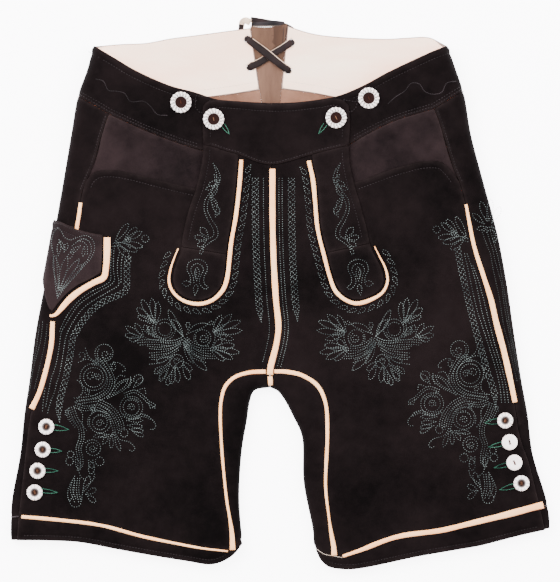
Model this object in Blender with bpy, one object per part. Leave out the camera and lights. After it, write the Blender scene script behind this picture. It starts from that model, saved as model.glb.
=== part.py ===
"""Short leather trousers with a drop front (lederhosen), laid flat on their back, the front up.

+X is the wearer's left, +Y is towards the waist, +Z is up from the surface they lie on.
Every leather piece is cut to its own outline and follows one lying form: a flat underside,
round folds at the sides, and a gently waved top. Sizes are in millimetres until the last step.
"""
import math
import bpy
import numpy as np
from mathutils import Vector
from mathutils.geometry import delaunay_2d_cdt

for old in list(bpy.data.objects):
    bpy.data.objects.remove(old, do_unlink=True)

# ---------------------------------------------------------------- driving sizes, mm
LEG_T = 1.8          # leg, hem, flap and pocket leather
BAND_T = 1.6         # waistband leather
LINING_T = 1.2       # cream leather inside the waistband
SEAM = 0.3           # air between two pieces at a seam
PIPE_W = 6.2         # piping strip, across
PIPE_H = 1.9         # piping strip, high
LACE_W, LACE_T = 6.0, 1.7
UNDER = LEG_T + SEAM                 # how far an underlying layer lies below the one over it
POCKET_MOUTH = 7.0   # how far the knife pocket mouth stands open
LACE_LIFT = LACE_T + 0.4             # the back waist lies this high over the lace
GRID_TOP, GRID_BACK, EDGE = 17.0, 60.0, 13.0     # mesh spacing
FOLD_STEPS = (0.0, 0.134, 0.5, 1.0)  # rows round a side fold, as parts of its radius

# Cross-sections from the waist to the hem: height of the lying garment, and the x of its
# outer folds on the wearer's right and left.
SECTIONS = (  # name, y, height, fold_right, fold_left
    ("waist_top", 275.6, 24.0, -203.9, 185.2),
    ("waist_mid", 249.2, 23.0, -210.8, 194.5),
    ("waist_seam", 221.7, 22.0, -220.7, 203.5),
    ("hip", 178.8, 20.0, -228.4, 211.0),
    ("pocket", 126.0, 18.5, -237.4, 224.8),
    ("seat", 68.8, 17.5, -247.5, 240.2),
    ("thigh_top", 11.6, 17.0, -258.1, 251.0),
    ("thigh_mid", -41.2, 16.5, -268.0, 258.7),
    ("crotch", -94.1, 16.0, -274.8, 267.1),
    ("slit_top", -129.2, 15.0, -280.1, 273.5),
    ("slit_mid", -173.2, 14.0, -284.7, 279.2),
    ("hem_seam", -226.1, 13.2, -294.1, 294.8),
    ("hem", -267.9, 12.6, -295.4, 300.1),
)
# The fold inside the legs and over the crotch, from the right hem round to the left hem.
INNER_FOLD = (  # name, x, y
    ("hem_right", (-39.6, -271.8)), ("hem_seam_right", (-41.8, -252.5)), ("low_right", (-43.8, -219.5)),
    ("knee_right", (-40.7, -168.9)), ("thigh_right", (-35.2, -135.9)), ("top_right", (-31.7, -113.9)),
    ("corner_right", (-27.3, -103.5)), ("crotch_right", (-18.7, -100.9)), ("crotch_left", (-9.9, -100.7)),
    ("corner_left", (-2.2, -103.3)), ("top_left", (5.5, -112.8)), ("thigh_left", (15.4, -131.5)),
    ("knee_left", (25.1, -153.5)), ("low_left", (27.1, -204.1)), ("hem_seam_left", (37.2, -256.9)),
    ("hem_bend_left", (38.7, -273.4)), ("hem_left", (45.8, -291.0)),
)
# Soft folds of the lying cloth: a ridge or trough from one end to the other.
CREASES = (  # name, x0, y0, x1, y1, width, depth
    ("right_thigh_pull", -23.1, -36.9, -91.3, -111.7, 24, -2.6),
    ("right_thigh_ridge", -58.3, -23.7, -130.9, -113.9, 26, 1.8),
    ("left_thigh_pull", 18.7, -41.2, 80.3, -116.1, 24, -2.2),
    ("left_thigh_ridge", 56.1, -28.1, 135.3, -109.5, 26, 1.5),
    ("right_hip_fold", -225.5, 123.8, -228.8, 99.6, 13, 0.9),
    ("right_knee_wave", -174.9, -229.4, -161.7, -135.9, 22, -1.5),
    ("right_hem_wave", -97.9, -267.9, -102.3, -179.9, 20, 1.4),
    ("left_knee_wave", 155.1, -245.9, 141.9, -146.9, 22, -1.4),
    ("left_hem_wave", 94.6, -273.4, 97.9, -190.9, 20, 1.4),
    ("right_hip_dip", -163.9, 62.2, -172.7, -25.9, 26, -1.2),
    ("left_hip_dip", 160.6, 51.2, 168.3, -36.9, 26, -1.2),
    ("flap_sag", -7.7, 196.4, -7.7, 132.6, 60, -3.0),
    ("seat_dip", -26.4, 73.2, 12.1, -3.9, 40, -1.2),
    ("right_side_wave", -218.9, -69.9, -227.7, -157.9, 20, 1.0),
    ("left_side_wave", 216.7, -47.9, 221.1, -157.9, 20, 1.0),
)

# ---------------------------------------------------------------- lines in the plane
def spline(points, step=1.5):
    """A smooth line through the points, as dense points."""
    p = np.array([q[-1] if isinstance(q[-1], tuple) else q[-2:] for q in points], float)
    if len(p) == 2:
        n = max(2, int(np.linalg.norm(p[1] - p[0]) / step))
        return p[0] + (p[1] - p[0]) * np.linspace(0, 1, n)[:, None]
    p = np.vstack([2 * p[0] - p[1], p, 2 * p[-1] - p[-2]])
    out = [p[1]]
    for a, b, c, d in zip(p[:-3], p[1:-2], p[2:-1], p[3:]):
        ta, tb, tc = (np.linalg.norm(b - a) ** 0.5, np.linalg.norm(c - b) ** 0.5,
                      np.linalg.norm(d - c) ** 0.5)
        m0 = (b - a) / ta - (c - a) / (ta + tb) + (c - b) / tb
        m1 = (c - b) / tb - (d - b) / (tb + tc) + (d - c) / tc
        for t in np.linspace(0, 1, max(2, math.ceil(tb * tb / step) + 1))[1:]:
            h = (2 * t**3 - 3 * t**2 + 1, t**3 - 2 * t**2 + t, -2 * t**3 + 3 * t**2, t**3 - t**2)
            out.append(h[0] * b + h[1] * m0 * tb + h[2] * c + h[3] * m1 * tb)
    return np.array(out)


def lengths(line):
    return np.concatenate([[0], np.cumsum(np.linalg.norm(np.diff(line, axis=0), axis=1))])


def at(line, s):
    along = lengths(line)
    return np.stack([np.interp(s, along, line[:, k]) for k in (0, 1)], axis=-1)


SECTION_Y = np.array([row[1] for row in SECTIONS])
HEIGHT_LINE = spline([(row[1], row[2] * 10) for row in SECTIONS])


def height(y):
    return np.interp(-np.asarray(y), -HEIGHT_LINE[:, 0], HEIGHT_LINE[:, 1] / 10)


FOLDS = {
    "right": spline([(row[3], row[1]) for row in SECTIONS], 1.0),
    "left": spline([(row[4], row[1]) for row in SECTIONS], 1.0),
    "inner": spline(INNER_FOLD, 1.0),
}


def fold_parts():
    """Every fold as short segments with the outward direction of each, run on past its ends."""
    a, b = [], []
    for name, line in FOLDS.items():
        ends = [line[0] + (line[0] - line[4]) * 12, *line, line[-1] + (line[-1] - line[-5]) * 12]
        ends = np.array(ends)
        if name != "left":
            ends = ends[::-1]
        a.append(ends[:-1])
        b.append(ends[1:])
    a, b = np.vstack(a), np.vstack(b)
    d = (b - a) / np.linalg.norm(b - a, axis=1)[:, None]
    # each line is taken so that the garment lies on its right
    out = np.stack([-d[:, 1], d[:, 0]], axis=1)
    return a, b, out


SEG_A, SEG_B, SEG_OUT = fold_parts()


def to_fold(p):
    """Distance from each point to the nearest fold, and the level direction out to it."""
    p = np.atleast_2d(p)
    dist, out = np.empty(len(p)), np.empty((len(p), 2))
    ab = SEG_B - SEG_A
    ll = (ab**2).sum(1)
    for k in range(0, len(p), 400):
        q = p[k : k + 400, None, :]
        t = np.clip(((q - SEG_A) * ab).sum(2) / ll, 0, 1)
        near = SEG_A + t[..., None] * ab
        d = np.linalg.norm(q - near, axis=2)
        i = d.argmin(1)
        row = np.arange(len(i))
        dist[k : k + 400] = d[row, i]
        away = near[row, i] - p[k : k + 400]
        size = np.linalg.norm(away, axis=1)
        close = size < 0.4
        out[k : k + 400] = np.where(close[:, None], SEG_OUT[i], away / np.maximum(size, 1e-9)[:, None])
    return dist, out


def ease(t):
    t = np.clip(t, 0, 1)
    return t * t * (3 - 2 * t)


# ---------------------------------------------------------------- the lying form
def crease(p):
    total = np.zeros(len(p))
    for _, x0, y0, x1, y1, width, depth in CREASES:
        a, b = np.array([x0, y0]), np.array([x1, y1])
        t = np.clip(((p - a) @ (b - a)) / ((b - a) @ (b - a)), 0, 1)
        d = np.linalg.norm(p - a - t[:, None] * (b - a), axis=1)
        total += depth * np.exp(-((d / width) ** 2))
    return total


LIFT = dict(x=-11.0, y=275.6, half_x=37.0, half_y=39.0)


def lift(p):
    """The back waist's height over the lace that runs under it."""
    rho = np.sqrt(np.sqrt(((p[:, 0] - LIFT["x"]) / LIFT["half_x"]) ** 4
                          + ((p[:, 1] - LIFT["y"]) / LIFT["half_y"]) ** 4))
    return LACE_LIFT * (1 - ease((rho - 1.05) / 0.7))


def form(p, side):
    """The outer face of the lying garment over each point, and its direction there."""
    p = np.asarray(p, float).reshape(-1, 2)
    d, out = to_fold(p)
    h = height(p[:, 1])
    r = h / 2
    lean = np.clip(1 - d / r, 0, 1)
    rise = np.sqrt(np.maximum(0, 1 - lean**2))
    up = 1 if side == "top" else -1
    def level(q, dist):
        if side == "top":
            return height(q[:, 1]) + crease(q) * ease((dist - r) / (2 * r))
        return lift(q) * ease((dist - r) / (2 * r))
    flat = level(p, d)
    z = np.where(lean > 0, r + up * r * rise, flat)
    e = 0.5
    dx = (level(p + [e, 0], d - e * out[:, 0]) - level(p - [e, 0], d + e * out[:, 0])) / (2 * e)
    dy = (level(p + [0, e], d - e * out[:, 1]) - level(p - [0, e], d + e * out[:, 1])) / (2 * e)
    n = np.stack([-dx, -dy, np.ones(len(p))], axis=1) * up
    arc = np.stack([out[:, 0] * lean, out[:, 1] * lean, up * rise], axis=1)
    n = np.where((lean > 0)[:, None], arc, n)
    n /= np.linalg.norm(n, axis=1)[:, None]
    return np.column_stack([p, z]), n, d, r


# ---------------------------------------------------------------- seams and edges
def stops(line, step=EDGE):
    """Points along a dense line about step apart, with a row at each step round a fold."""
    along = lengths(line)
    total = along[-1]
    d, _ = to_fold(line)
    ratio = d / (height(line[:, 1]) / 2)
    marks = [0.0, total]
    for f in FOLD_STEPS[1:]:
        for i in np.nonzero((ratio[:-1] - f) * (ratio[1:] - f) < 0)[0]:
            t = (f - ratio[i]) / (ratio[i + 1] - ratio[i])
            marks.append(along[i] + t * (along[i + 1] - along[i]))
    marks = sorted(marks)
    kept = [marks[0]]
    for m in marks[1:-1]:
        if m - kept[-1] > 0.7 and total - m > 0.7:
            kept.append(m)
    kept.append(total)
    s = []
    for a, b in zip(kept[:-1], kept[1:]):
        s += list(np.linspace(a, b, max(1, round((b - a) / step)) + 1)[:-1])
    return at(line, np.array(s + [total]))


def edge(*points, step=None):
    return stops(spline(points), step or EDGE), False


def back(line):
    return line[0][::-1], line[1]


def fold_run(name, start, stop):
    """A stretch of a fold between two places, half a seam short of each end.

    start and stop are points near the fold.
    """
    line = FOLDS[name]
    along = lengths(line)
    s = [along[np.linalg.norm(line - np.array(q), axis=1).argmin()] for q in (start, stop)]
    sign = 1 if s[1] > s[0] else -1
    a, b = s[0] + sign * SEAM / 2, s[1] - sign * SEAM / 2
    n = max(1, round(abs(b - a) / EDGE))
    return at(line, np.linspace(a, b, n + 1)), True


def outline(*parts, inset=SEAM / 2):
    """A closed outline from seams, edges and folds in order, drawn in by half a seam."""
    pts, fold = [], []
    for k, (line, is_fold) in enumerate(parts):
        after = parts[(k + 1) % len(parts)][1]
        line = line if is_fold else line[1:-1] if after else line[1:]
        pts += list(line)
        fold += [is_fold] * len(line)
    p, fold = np.array(pts), np.array(fold)
    x, y = p[:, 0], p[:, 1]
    if (x * np.roll(y, -1) - np.roll(x, -1) * y).sum() < 0:
        p, fold = p[::-1], fold[::-1]
    ahead = np.roll(p, -1, axis=0) - p
    ahead /= np.maximum(np.linalg.norm(ahead, axis=1), 1e-9)[:, None]
    n1 = np.stack([-ahead[:, 1], ahead[:, 0]], axis=1)
    n0 = np.roll(n1, 1, axis=0)
    mitre = (n0 + n1) / np.maximum(0.35, 1 + (n0 * n1).sum(1))[:, None]
    return np.where(fold[:, None], p, p + mitre * inset), fold


def inside(points, loop):
    """Which points lie in a closed loop."""
    a, b = loop, np.roll(loop, -1, axis=0)
    x, y = points[:, 0][:, None], points[:, 1][:, None]
    cross = (a[:, 1] > y) != (b[:, 1] > y)
    tall = np.where(b[:, 1] == a[:, 1], 1e-12, b[:, 1] - a[:, 1])
    at_x = a[:, 0] + (y - a[:, 1]) / tall * (b[:, 0] - a[:, 0])
    return (cross & (x < at_x)).sum(1) % 2 == 1


def to_loop(points, loop):
    a, b = loop, np.roll(loop, -1, axis=0)
    ab = b - a
    q = points[:, None, :]
    t = np.clip(((q - a) * ab).sum(2) / np.maximum((ab**2).sum(1), 1e-12), 0, 1)
    return np.linalg.norm(q - a - t[..., None] * ab, axis=2).min(1)


def triangulate(loop, fold, grid, holes=()):
    """Triangles over an outline, with rows round its folds and a plain grid elsewhere."""
    rows = []
    if fold.any():
        f = loop[fold]
        _, out = to_fold(f)
        r = height(f[:, 1]) / 2
        for step in FOLD_STEPS[1:]:
            rows.append(f - out * (r * step)[:, None])
    rows = np.vstack(rows) if rows else np.empty((0, 2))
    if len(rows):
        rows = rows[inside(rows, loop)]
        free = loop[~fold] if (~fold).any() else loop
        gap = np.array([np.linalg.norm(free - q, axis=1).min() for q in rows])
        rows = rows[gap > 1.3]
    lo, hi = loop.min(0), loop.max(0)
    xs = np.arange(math.floor(lo[0] / grid), math.ceil(hi[0] / grid) + 1) * grid
    ys = np.arange(math.floor(lo[1] / grid), math.ceil(hi[1] / grid) + 1) * grid
    mesh = np.stack(np.meshgrid(xs, ys), axis=-1).reshape(-1, 2)
    mesh = mesh[inside(mesh, loop)]
    if len(mesh):
        mesh = mesh[to_loop(mesh, loop) > 0.42 * grid]
    if len(mesh):
        d, _ = to_fold(mesh)
        mesh = mesh[d > height(mesh[:, 1]) / 2 + 0.3 * grid]
    for hole in holes:
        mesh = mesh[to_loop(mesh, hole) > 0.3 * grid] if len(mesh) else mesh
    pts = [loop]
    loops = [(0, len(loop))]
    n = len(loop)
    for hole in holes:
        pts.append(hole)
        loops.append((n, len(hole)))
        n += len(hole)
    pts += [rows, mesh]
    p = np.vstack(pts)
    edges = [(s + i, s + (i + 1) % m) for s, m in loops for i in range(m)]
    v, _, faces, orig, _, _ = delaunay_2d_cdt([Vector(q) for q in p], edges, [], 0, 1e-5)
    v = np.array([tuple(q) for q in v])
    tri = np.array(faces)
    mid = v[tri].mean(1)
    keep = inside(mid, loop)
    for hole in holes:
        keep &= ~inside(mid, hole)
    tri = tri[keep]
    a, b, c = v[tri[:, 0]], v[tri[:, 1]], v[tri[:, 2]]
    area = (b[:, 0] - a[:, 0]) * (c[:, 1] - a[:, 1]) - (b[:, 1] - a[:, 1]) * (c[:, 0] - a[:, 0])
    tri[area < 0] = tri[area < 0][:, ::-1]
    tri = tri[np.abs(area) > 1e-7]
    on_fold = np.array([any(i < len(loop) and fold[i] for i in o) for o in orig])
    return v, tri, on_fold


# ---------------------------------------------------------------- solids
def material(name, colour, rough=0.85):
    m = bpy.data.materials.new(name)
    m.use_nodes = True
    s = m.node_tree.nodes["Principled BSDF"]
    s.inputs["Base Color"].default_value = (*[(c / 255) ** 2.2 for c in colour], 1)
    s.inputs["Roughness"].default_value = rough
    m.diffuse_color = (*[(c / 255) ** 2.2 for c in colour], 1)
    return m


def body(name, verts, faces, colour, rough=0.85):
    mesh = bpy.data.meshes.new(name)
    mesh.from_pydata([tuple(c / 1000 for c in v) for v in verts], [], [tuple(map(int, f)) for f in faces])
    mesh.update()
    obj = bpy.data.objects.new(name, mesh)
    bpy.context.scene.collection.objects.link(obj)
    mesh.materials.append(material(name, colour, rough))
    return obj


def panel(name, sheets, thick, colour, outer=0.0, grid=None, rough=0.85):
    """A leather piece: one or more sheets joined along folds, with an outer and an inner skin.

    Each sheet is (side, outline, level), where level gives the outer skin's height over the form.
    """
    P, N, tris, key = [], [], [], {}
    for side, (loop, fold), level, *holes in sheets:
        g = (grid or GRID_TOP) if side == "top" else GRID_BACK
        v, tri, on_fold = triangulate(loop, fold, g, holes)
        base, n, d, r = form(v, side)
        off = np.full(len(v), outer) if level is None else outer + level(v, d, r)
        index = []
        for i in range(len(v)):
            k = (round(v[i, 0], 3), round(v[i, 1], 3)) if on_fold[i] else None
            if k is not None and k in key:
                index.append(key[k])
                continue
            index.append(len(P))
            if k is not None:
                key[k] = len(P)
            P.append(base[i] + n[i] * off[i])
            N.append(n[i])
        index = np.array(index)
        tri = index[tri]
        tris.append(tri if side == "top" else tri[:, ::-1])
    P, N, tris = np.array(P), np.array(N), np.vstack(tris)
    inner = P - N * thick
    k = len(P)
    sides = {}
    for t in tris:
        for a, b in ((t[0], t[1]), (t[1], t[2]), (t[2], t[0])):
            sides[(a, b)] = sides.get((a, b), 0) + 1
    rim = [(b, a, a + k, b + k) for a, b in sides if (b, a) not in sides]
    faces = [tuple(t) for t in tris] + [tuple(x + k for x in t[::-1]) for t in tris]
    for b, a, a2, b2 in rim:
        faces += [(b, a, a2), (b, a2, b2)]
    return body(name, np.vstack([P, inner]), faces, colour, rough)


PIPE_STOPS = (0.0, 0.5, 0.7, 0.85, 1.0)
PIPE_SHARE = {  # part of the full width that shows at those stops along each strip
    "piping_centre_front": (1.0, 1.0, 1.0, 1.05, 1.1), "piping_crotch": (0.85, 0.8, 0.8, 0.8, 0.75),
    "piping_inseam_right": (0.72, 0.5, 0.46, 0.52, 1.0),
    "piping_inseam_left": (0.72, 0.62, 0.5, 0.46, 1.0),
    "piping_hem_right": (0.62, 0.58, 0.5, 0.42, 0.3), "piping_hem_left": (1.2, 0.88, 0.84, 0.84, 0.5),
    "piping_side_left": (0.5, 0.9, 1.0, 1.0, 0.8), "piping_side_right": (0.8, 0.82, 0.86, 0.9, 0.95),
    "piping_side_right_top": (0.55, 0.65, 0.7, 0.75, 0.8),
    "piping_knife_pocket": (1.15, 1.0, 1.12, 1.0, 0.4),
    "piping_flap_right": (0.7, 0.74, 0.66, 0.46, 0.2), "piping_flap_left": (0.74, 0.62, 0.74, 0.42, 0.18),
}


def ribbon(name, points, colour, high=PIPE_H, above=SEAM + 0.08, step=11.5, rough=0.7):
    """A strip of piping along a line on the garment's top, round over and flat under."""
    dense = spline(points)
    total = lengths(dense)[-1]
    n = max(4, round(total / step))
    s = np.linspace(0, total, n + 1)
    mid = at(dense, s)
    t = at(dense, np.minimum(s + 1, total)) - at(dense, np.maximum(s - 1, 0))
    t /= np.linalg.norm(t, axis=1)[:, None]
    side = np.stack([-t[:, 1], t[:, 0]], axis=1)
    width = PIPE_W * np.interp(s / total, PIPE_STOPS, PIPE_SHARE[name])[:, None]
    section = ((-0.5, 0.0), (0.0, 0.0), (0.5, 0.0), (0.5, 0.42), (0.24, 0.95), (-0.24, 0.95), (-0.5, 0.42))
    rings = []
    for across, up in section:
        base, nn, _, _ = form(mid + side * across * width, "top")
        rings.append(base + nn * (above + up * high))
    V = np.stack(rings, axis=1)
    m = len(section)
    faces = []
    for i in range(n):
        for j in range(m):
            a, b = i * m + j, i * m + (j + 1) % m
            faces += [(a, b, b + m), (a, b + m, a + m)]
    faces += [(0, m - 1 - j, m - 2 - j) for j in range(m - 2)]
    last = n * m
    faces += [(last, last + j + 1, last + j + 2) for j in range(m - 2)]
    return body(name, V.reshape(-1, 3), faces, colour, rough)


def button(name, x, y, across, colour, above, thick=3.2, hollow=0.42, around=16):
    """A turned disc with a raised rim and a sunk middle, on the garment's top."""
    base, n, _, _ = form([(x, y)], "top")
    base, n = base[0], n[0]
    u = np.cross([0, 1, 0], n)
    u /= np.linalg.norm(u)
    w = np.cross(n, u)
    r = across / 2
    profile = ((0.80, 0.0), (1.0, 0.40), (0.97, 0.72), (0.82, 1.0), (hollow + 0.08, 0.86),
               (hollow - 0.06, 0.42))
    V = []
    for rad, up in profile:
        for i in range(around):
            a = 2 * math.pi * i / around
            V.append(base + n * (above + up * thick) + (u * math.cos(a) + w * math.sin(a)) * rad * r)
    m, faces = len(profile), []
    for k in range(m - 1):
        for i in range(around):
            a, b = k * around + i, k * around + (i + 1) % around
            faces += [(a, b, b + around), (a, b + around, a + around)]
    faces += [(0, i + 1, i) for i in range(1, around - 1)]
    top = (m - 1) * around
    faces += [(top, top + i, top + i + 1) for i in range(1, around - 1)]
    return body(name, V, faces, colour, 0.45)


# ---------------------------------------------------------------- colours
DARK = (44, 38, 38)
FACING = (66, 56, 58)
PIPING = (236, 208, 180)
CREAM = (250, 232, 220)
SUEDE = (160, 125, 105)
HORN = (242, 232, 228)
LACE = (70, 52, 46)

# ---------------------------------------------------------------- pattern lines
SIDES = ("right", "left")
# Where the seams meet the folds and each other.
MARKS = {  # name: the wearer's right, the wearer's left
    "waist_fold": ((-203.5, 275.6), (184.8, 276.7)),
    "seam_fold": ((-220.4, 220.6), (201.9, 226.1)),
    "side_top": ((-186.5, 200.2), (170.0, 205.9)),
    "side_pocket": ((-215.1, 117.2), (198.0, 126.0)),
    "slit_top": ((-272.8, -127.1), (259.6, -121.6)),
    "hem_slit": ((-286.2, -241.5), (286.4, -229.8)),
    "hem_fold": ((-294.1, -241.5), (295.7, -229.6)),
    "hem_inseam": ((-52.4, -278.9), (60.7, -285.2)),
    "hem_inner": ((-41.8, -266.3), (39.6, -276.0)),
    "foot_fold": ((-295.4, -267.9), (299.2, -254.7)),
    "foot_slit": ((-288.2, -268.0), (292.2, -256.6)),
    "foot_inner": ((-39.7, -271.4), (45.5, -290.4)),
    "crotch_top": ((-9.9, -82.5), (-9.9, -82.5)),
    "crotch_fold": ((-9.9, -100.7), (-9.9, -100.7)),
    "band_centre": ((-8.8, 159.5), (-8.8, 159.5)),
    "waist_centre": ((-8.8, 212.3), (-8.8, 212.3)),
    "fork_top": ((-8.2, 158.1), (-8.2, 158.1)),
}


def mark(name, side):
    """The place of a mark, drawn onto its fold if it is on one."""
    x, y = MARKS[name][SIDES.index(side)]
    line = FOLDS["inner"] if name.endswith("_inner") or name == "crotch_fold" else FOLDS[side]
    if name.endswith(("_fold", "_inner")):
        x, y = line[np.linalg.norm(line - (x, y), axis=1).argmin()]
    return x, y


CUTS = {  # seam or edge: the points between its two marks, on the wearer's right and left
    "front_top": ("waist_fold", "waist_centre",
        ((-180.4, 261.8), (-157.3, 248.1), (-119.9, 231.6), (-91.3, 223.9), (-69.3, 216.7), (-40.7, 214.0)),
        ((168.3, 269.0), (144.1, 258.0), (118.8, 245.9), (91.3, 231.0), (66.0, 220.6), (47.3, 216.7),
         (20.9, 213.4))),
    "front_seam_outer": ("seam_fold", "side_top", ((-203.5, 210.1),), ((185.9, 215.6),)),
    "front_seam": ("side_top", "band_centre",
        ((-149.6, 183.2), (-119.9, 171.6), (-91.3, 162.2), (-80.3, 160.1), (-42.9, 159.5)),
        ((149.6, 199.9), (126.5, 192.5), (102.3, 181.0), (80.3, 168.9), (67.1, 161.7), (28.6, 159.5))),
    "side_upper": ("side_top", "side_pocket",
        ((-190.3, 189.8), (-195.8, 172.2), (-203.0, 145.8), (-210.1, 129.2)),
        ((176.0, 190.9), (181.5, 173.2), (189.8, 145.8), (194.7, 132.6))),
    "side_lower": ("side_pocket", "slit_top",
        ((-217.4, 105.1), (-220.6, 82.0), (-228.8, 44.6), (-239.8, 7.2), (-247.5, -28.1),
         (-249.7, -52.3), (-255.2, -78.7), (-262.9, -105.1)),
        ((204.6, 102.9), (214.0, 55.6), (225.0, 20.4), (232.1, -1.7), (238.7, -30.3), (246.4, -58.9),
         (253.0, -87.5), (258.0, -109.5))),
    "slit": ("slit_top", "hem_slit",
        ((-276.9, -157.9), (-280.5, -190.9)), ((264.0, -151.2), (275.0, -184.3))),
    "slit_hem": ("hem_slit", "foot_slit", (), ()),
    "hem_front": ("hem_slit", "hem_inseam",
        ((-247.5, -244.8), (-196.9, -251.1), (-149.6, -263.5), (-110.0, -271.7), (-80.3, -277.0)),
        ((246.4, -240.4), (210.1, -249.2), (178.2, -256.9), (134.2, -262.9), (115.5, -268.3),
         (90.8, -277.9), (78.7, -282.2))),
    "hem_wrap": ("hem_inseam", "hem_inner", ((-48.2, -273.6),), ((49.5, -282.8),)),
    "hem_back": ("hem_fold", "hem_inner",
        ((-262.9, -240.4), (-218.9, -243.7), (-174.9, -252.5), (-130.9, -260.2), (-81.4, -269.5),
         (-58.3, -268.4)),
        ((265.1, -236.0), (221.1, -245.9), (177.1, -253.6), (133.1, -262.4), (95.7, -274.9),
         (67.1, -281.5), (51.7, -278.4))),
    "foot_front": ("foot_slit", "foot_inner",
        ((-251.9, -268.4), (-218.9, -270.3), (-174.9, -278.5), (-134.2, -285.7), (-100.1, -291.2),
         (-74.8, -294.7), (-61.6, -291.2), (-50.6, -284.4)),
        ((265.1, -262.8), (240.9, -269.0), (218.9, -274.5), (184.8, -280.3), (146.3, -287.2),
         (122.1, -292.5), (97.9, -297.6), (79.2, -300.1),
         (63.8, -299.3), (52.8, -296.5))),
    "foot_back": ("foot_fold", "foot_inner",
        ((-273.9, -267.0), (-218.9, -269.2), (-174.9, -277.4), (-134.2, -284.6), (-100.1, -290.1),
         (-74.8, -293.6), (-61.6, -290.1), (-50.6, -283.2)),
        ((265.1, -261.2), (240.9, -267.9), (218.9, -273.4), (184.8, -279.2), (146.3, -286.1),
         (122.1, -291.4), (97.9, -296.5), (79.2, -298.9),
         (63.8, -298.2), (52.8, -295.4))),
    "inseam": ("hem_inseam", "crotch_top",
        ((-57.8, -223.9), (-62.7, -168.9), (-64.4, -130.4), (-63.5, -115.0), (-58.9, -99.0),
         (-48.4, -88.6), (-31.9, -83.4)),
        ((55.0, -248.1), (51.2, -208.5), (53.1, -146.9), (50.8, -116.1), (42.4, -98.2), (26.4, -87.0),
         (9.9, -82.8))),
    "crotch_wrap": ("crotch_top", "crotch_fold", (), ()),
    "centre_front": ("crotch_top", "fork_top",
        ((-6.1, -65.5), (-2.2, -49.0), (-0.6, -32.5), (-3.3, -3.9), (-6.1, 45.7), (-7.2, 95.2)),
        ((-6.1, -65.5), (-2.2, -49.0), (-0.6, -32.5), (-3.3, -3.9), (-6.1, 45.7), (-7.2, 95.2))),
}
C = {side: {} for side in SIDES}
for cut, (start, stop, *between) in CUTS.items():
    for k, side in enumerate(SIDES):
        C[side][cut] = edge(mark(start, side), *between[k], mark(stop, side))

# Back waist: the band's top edge, its seam to the legs, and the sides of the gusset between.
GUSSET = {  # corner: wearer's right, wearer's left
    "top": ((-31.5, 298.7), (9.6, 301.1)),
    "seam": ((-21.3, 227.7), (2.6, 228.8)),
    "foot": ((-18.7, 211.2), (1.1, 211.2)),
}
LIP_DOWN = 2.9                # the band's own corner lies this far below the gusset's
BACK_TOP = (
    ((-174.9, 278.2), (-146.3, 279.5), (-119.9, 284.4), (-91.3, 288.1), (-60.5, 292.1)),
    ((166.1, 285.5), (138.6, 285.2), (118.8, 284.1), (68.2, 286.1), (36.3, 289.9)),
)
BACK_SEAM = (
    ((-185.9, 218.9), (-141.9, 217.8), (-86.9, 218.4), (-51.7, 222.8)),
    ((166.1, 218.4), (122.1, 214.0), (72.6, 217.3), (34.1, 224.4)),
)
for k, side in enumerate(SIDES):
    top, seam, foot = GUSSET["top"][k], GUSSET["seam"][k], GUSSET["foot"][k]
    lip = (top[0] * 0.96 + seam[0] * 0.04, top[1] - LIP_DOWN)
    C[side]["back_top"] = edge(mark("waist_fold", side), *BACK_TOP[k], lip)
    C[side]["gusset_upper"] = edge(lip, seam)
    C[side]["back_seam"] = edge(mark("seam_fold", side), *BACK_SEAM[k], seam)
    C[side]["gusset_lower"] = edge(seam, foot)
    C[side]["gusset_foot"] = edge(foot, (-8.8, 211.2))
    C[side]["centre_back"] = edge((-8.8, 211.2), (-9.9, 51.2), (-9.9, -100.7))

# ---------------------------------------------------------------- front and back legs
POCKET_MOUTHS = (  # the curved mouth of each front pocket, from the side seam to the flap
    ((-215.1, 117.2), (-211.4, 127.6), (-201.3, 137.0), (-184.8, 139.2), (-162.8, 135.9),
     (-128.7, 127.1), (-95.7, 119.4), (-84.2, 117.2)),
    ((198.0, 126.0), (188.7, 138.6), (178.2, 147.6), (158.4, 148.5), (138.6, 144.1), (118.8, 138.1),
     (85.8, 126.0), (76.5, 123.8)),
)
FLAP_SLITS = (   # the flap's open side, under its strip, from the waist seam down
    ((-79.2, 158.1), (-79.8, 139.2), (-84.2, 119.4), (-93.5, 94.1), (-101.2, 62.2)),
    ((72.6, 158.1), (73.2, 139.2), (76.5, 123.8), (85.8, 100.7), (94.6, 64.4)),
)


def front_leg(side):
    k = SIDES.index(side)
    c = C[side]
    out = -1 if side == "right" else 1
    slit = spline(FLAP_SLITS[k])
    mouth = spline(POCKET_MOUTHS[k])
    cross = np.linalg.norm(slit - mouth[-1], axis=1).argmin()
    gap = 0.35 * np.minimum(1, np.arange(len(slit))[::-1] / 6)[:, None] * np.array([out, 0])
    inner_lip = stops(slit - gap), False
    outer_lip = stops((slit + gap)[cross:]), False
    mouth[-1] = outer_lip[0][0]
    top = edge(mark("fork_top", side), FLAP_SLITS[k][0])
    top[0][-1] = inner_lip[0][0]
    loop = outline(
        c["centre_front"], top, inner_lip, back(outer_lip),
        (stops(mouth)[::-1], False), c["side_lower"], c["slit"], c["hem_front"], c["inseam"],
    )
    return panel(f"front_leg_{side}", [("top", loop, None)], LEG_T, DARK)


PLACKETS = {  # the strip under the front of each leg slit: its upper and lower corners
    "right": dict(top=((-274.7, -141.4), (-238.7, -141.4)), low=((-247.5, -244.2), (-250.3, -266.8))),
    "left": dict(top=((262.1, -140.2), (229.9, -140.2)), low=((245.3, -240.4), (249.2, -265.1))),
}


def placket_level(side):
    """Full height above the slit, and one layer lower where the front lies over it."""
    top = PLACKETS[side]["top"][0][1] + 4
    def level(p, d, r):
        return -UNDER * ease((top + 14 - p[:, 1]) / 12) * ease(d / (0.45 * r))
    return level


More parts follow.
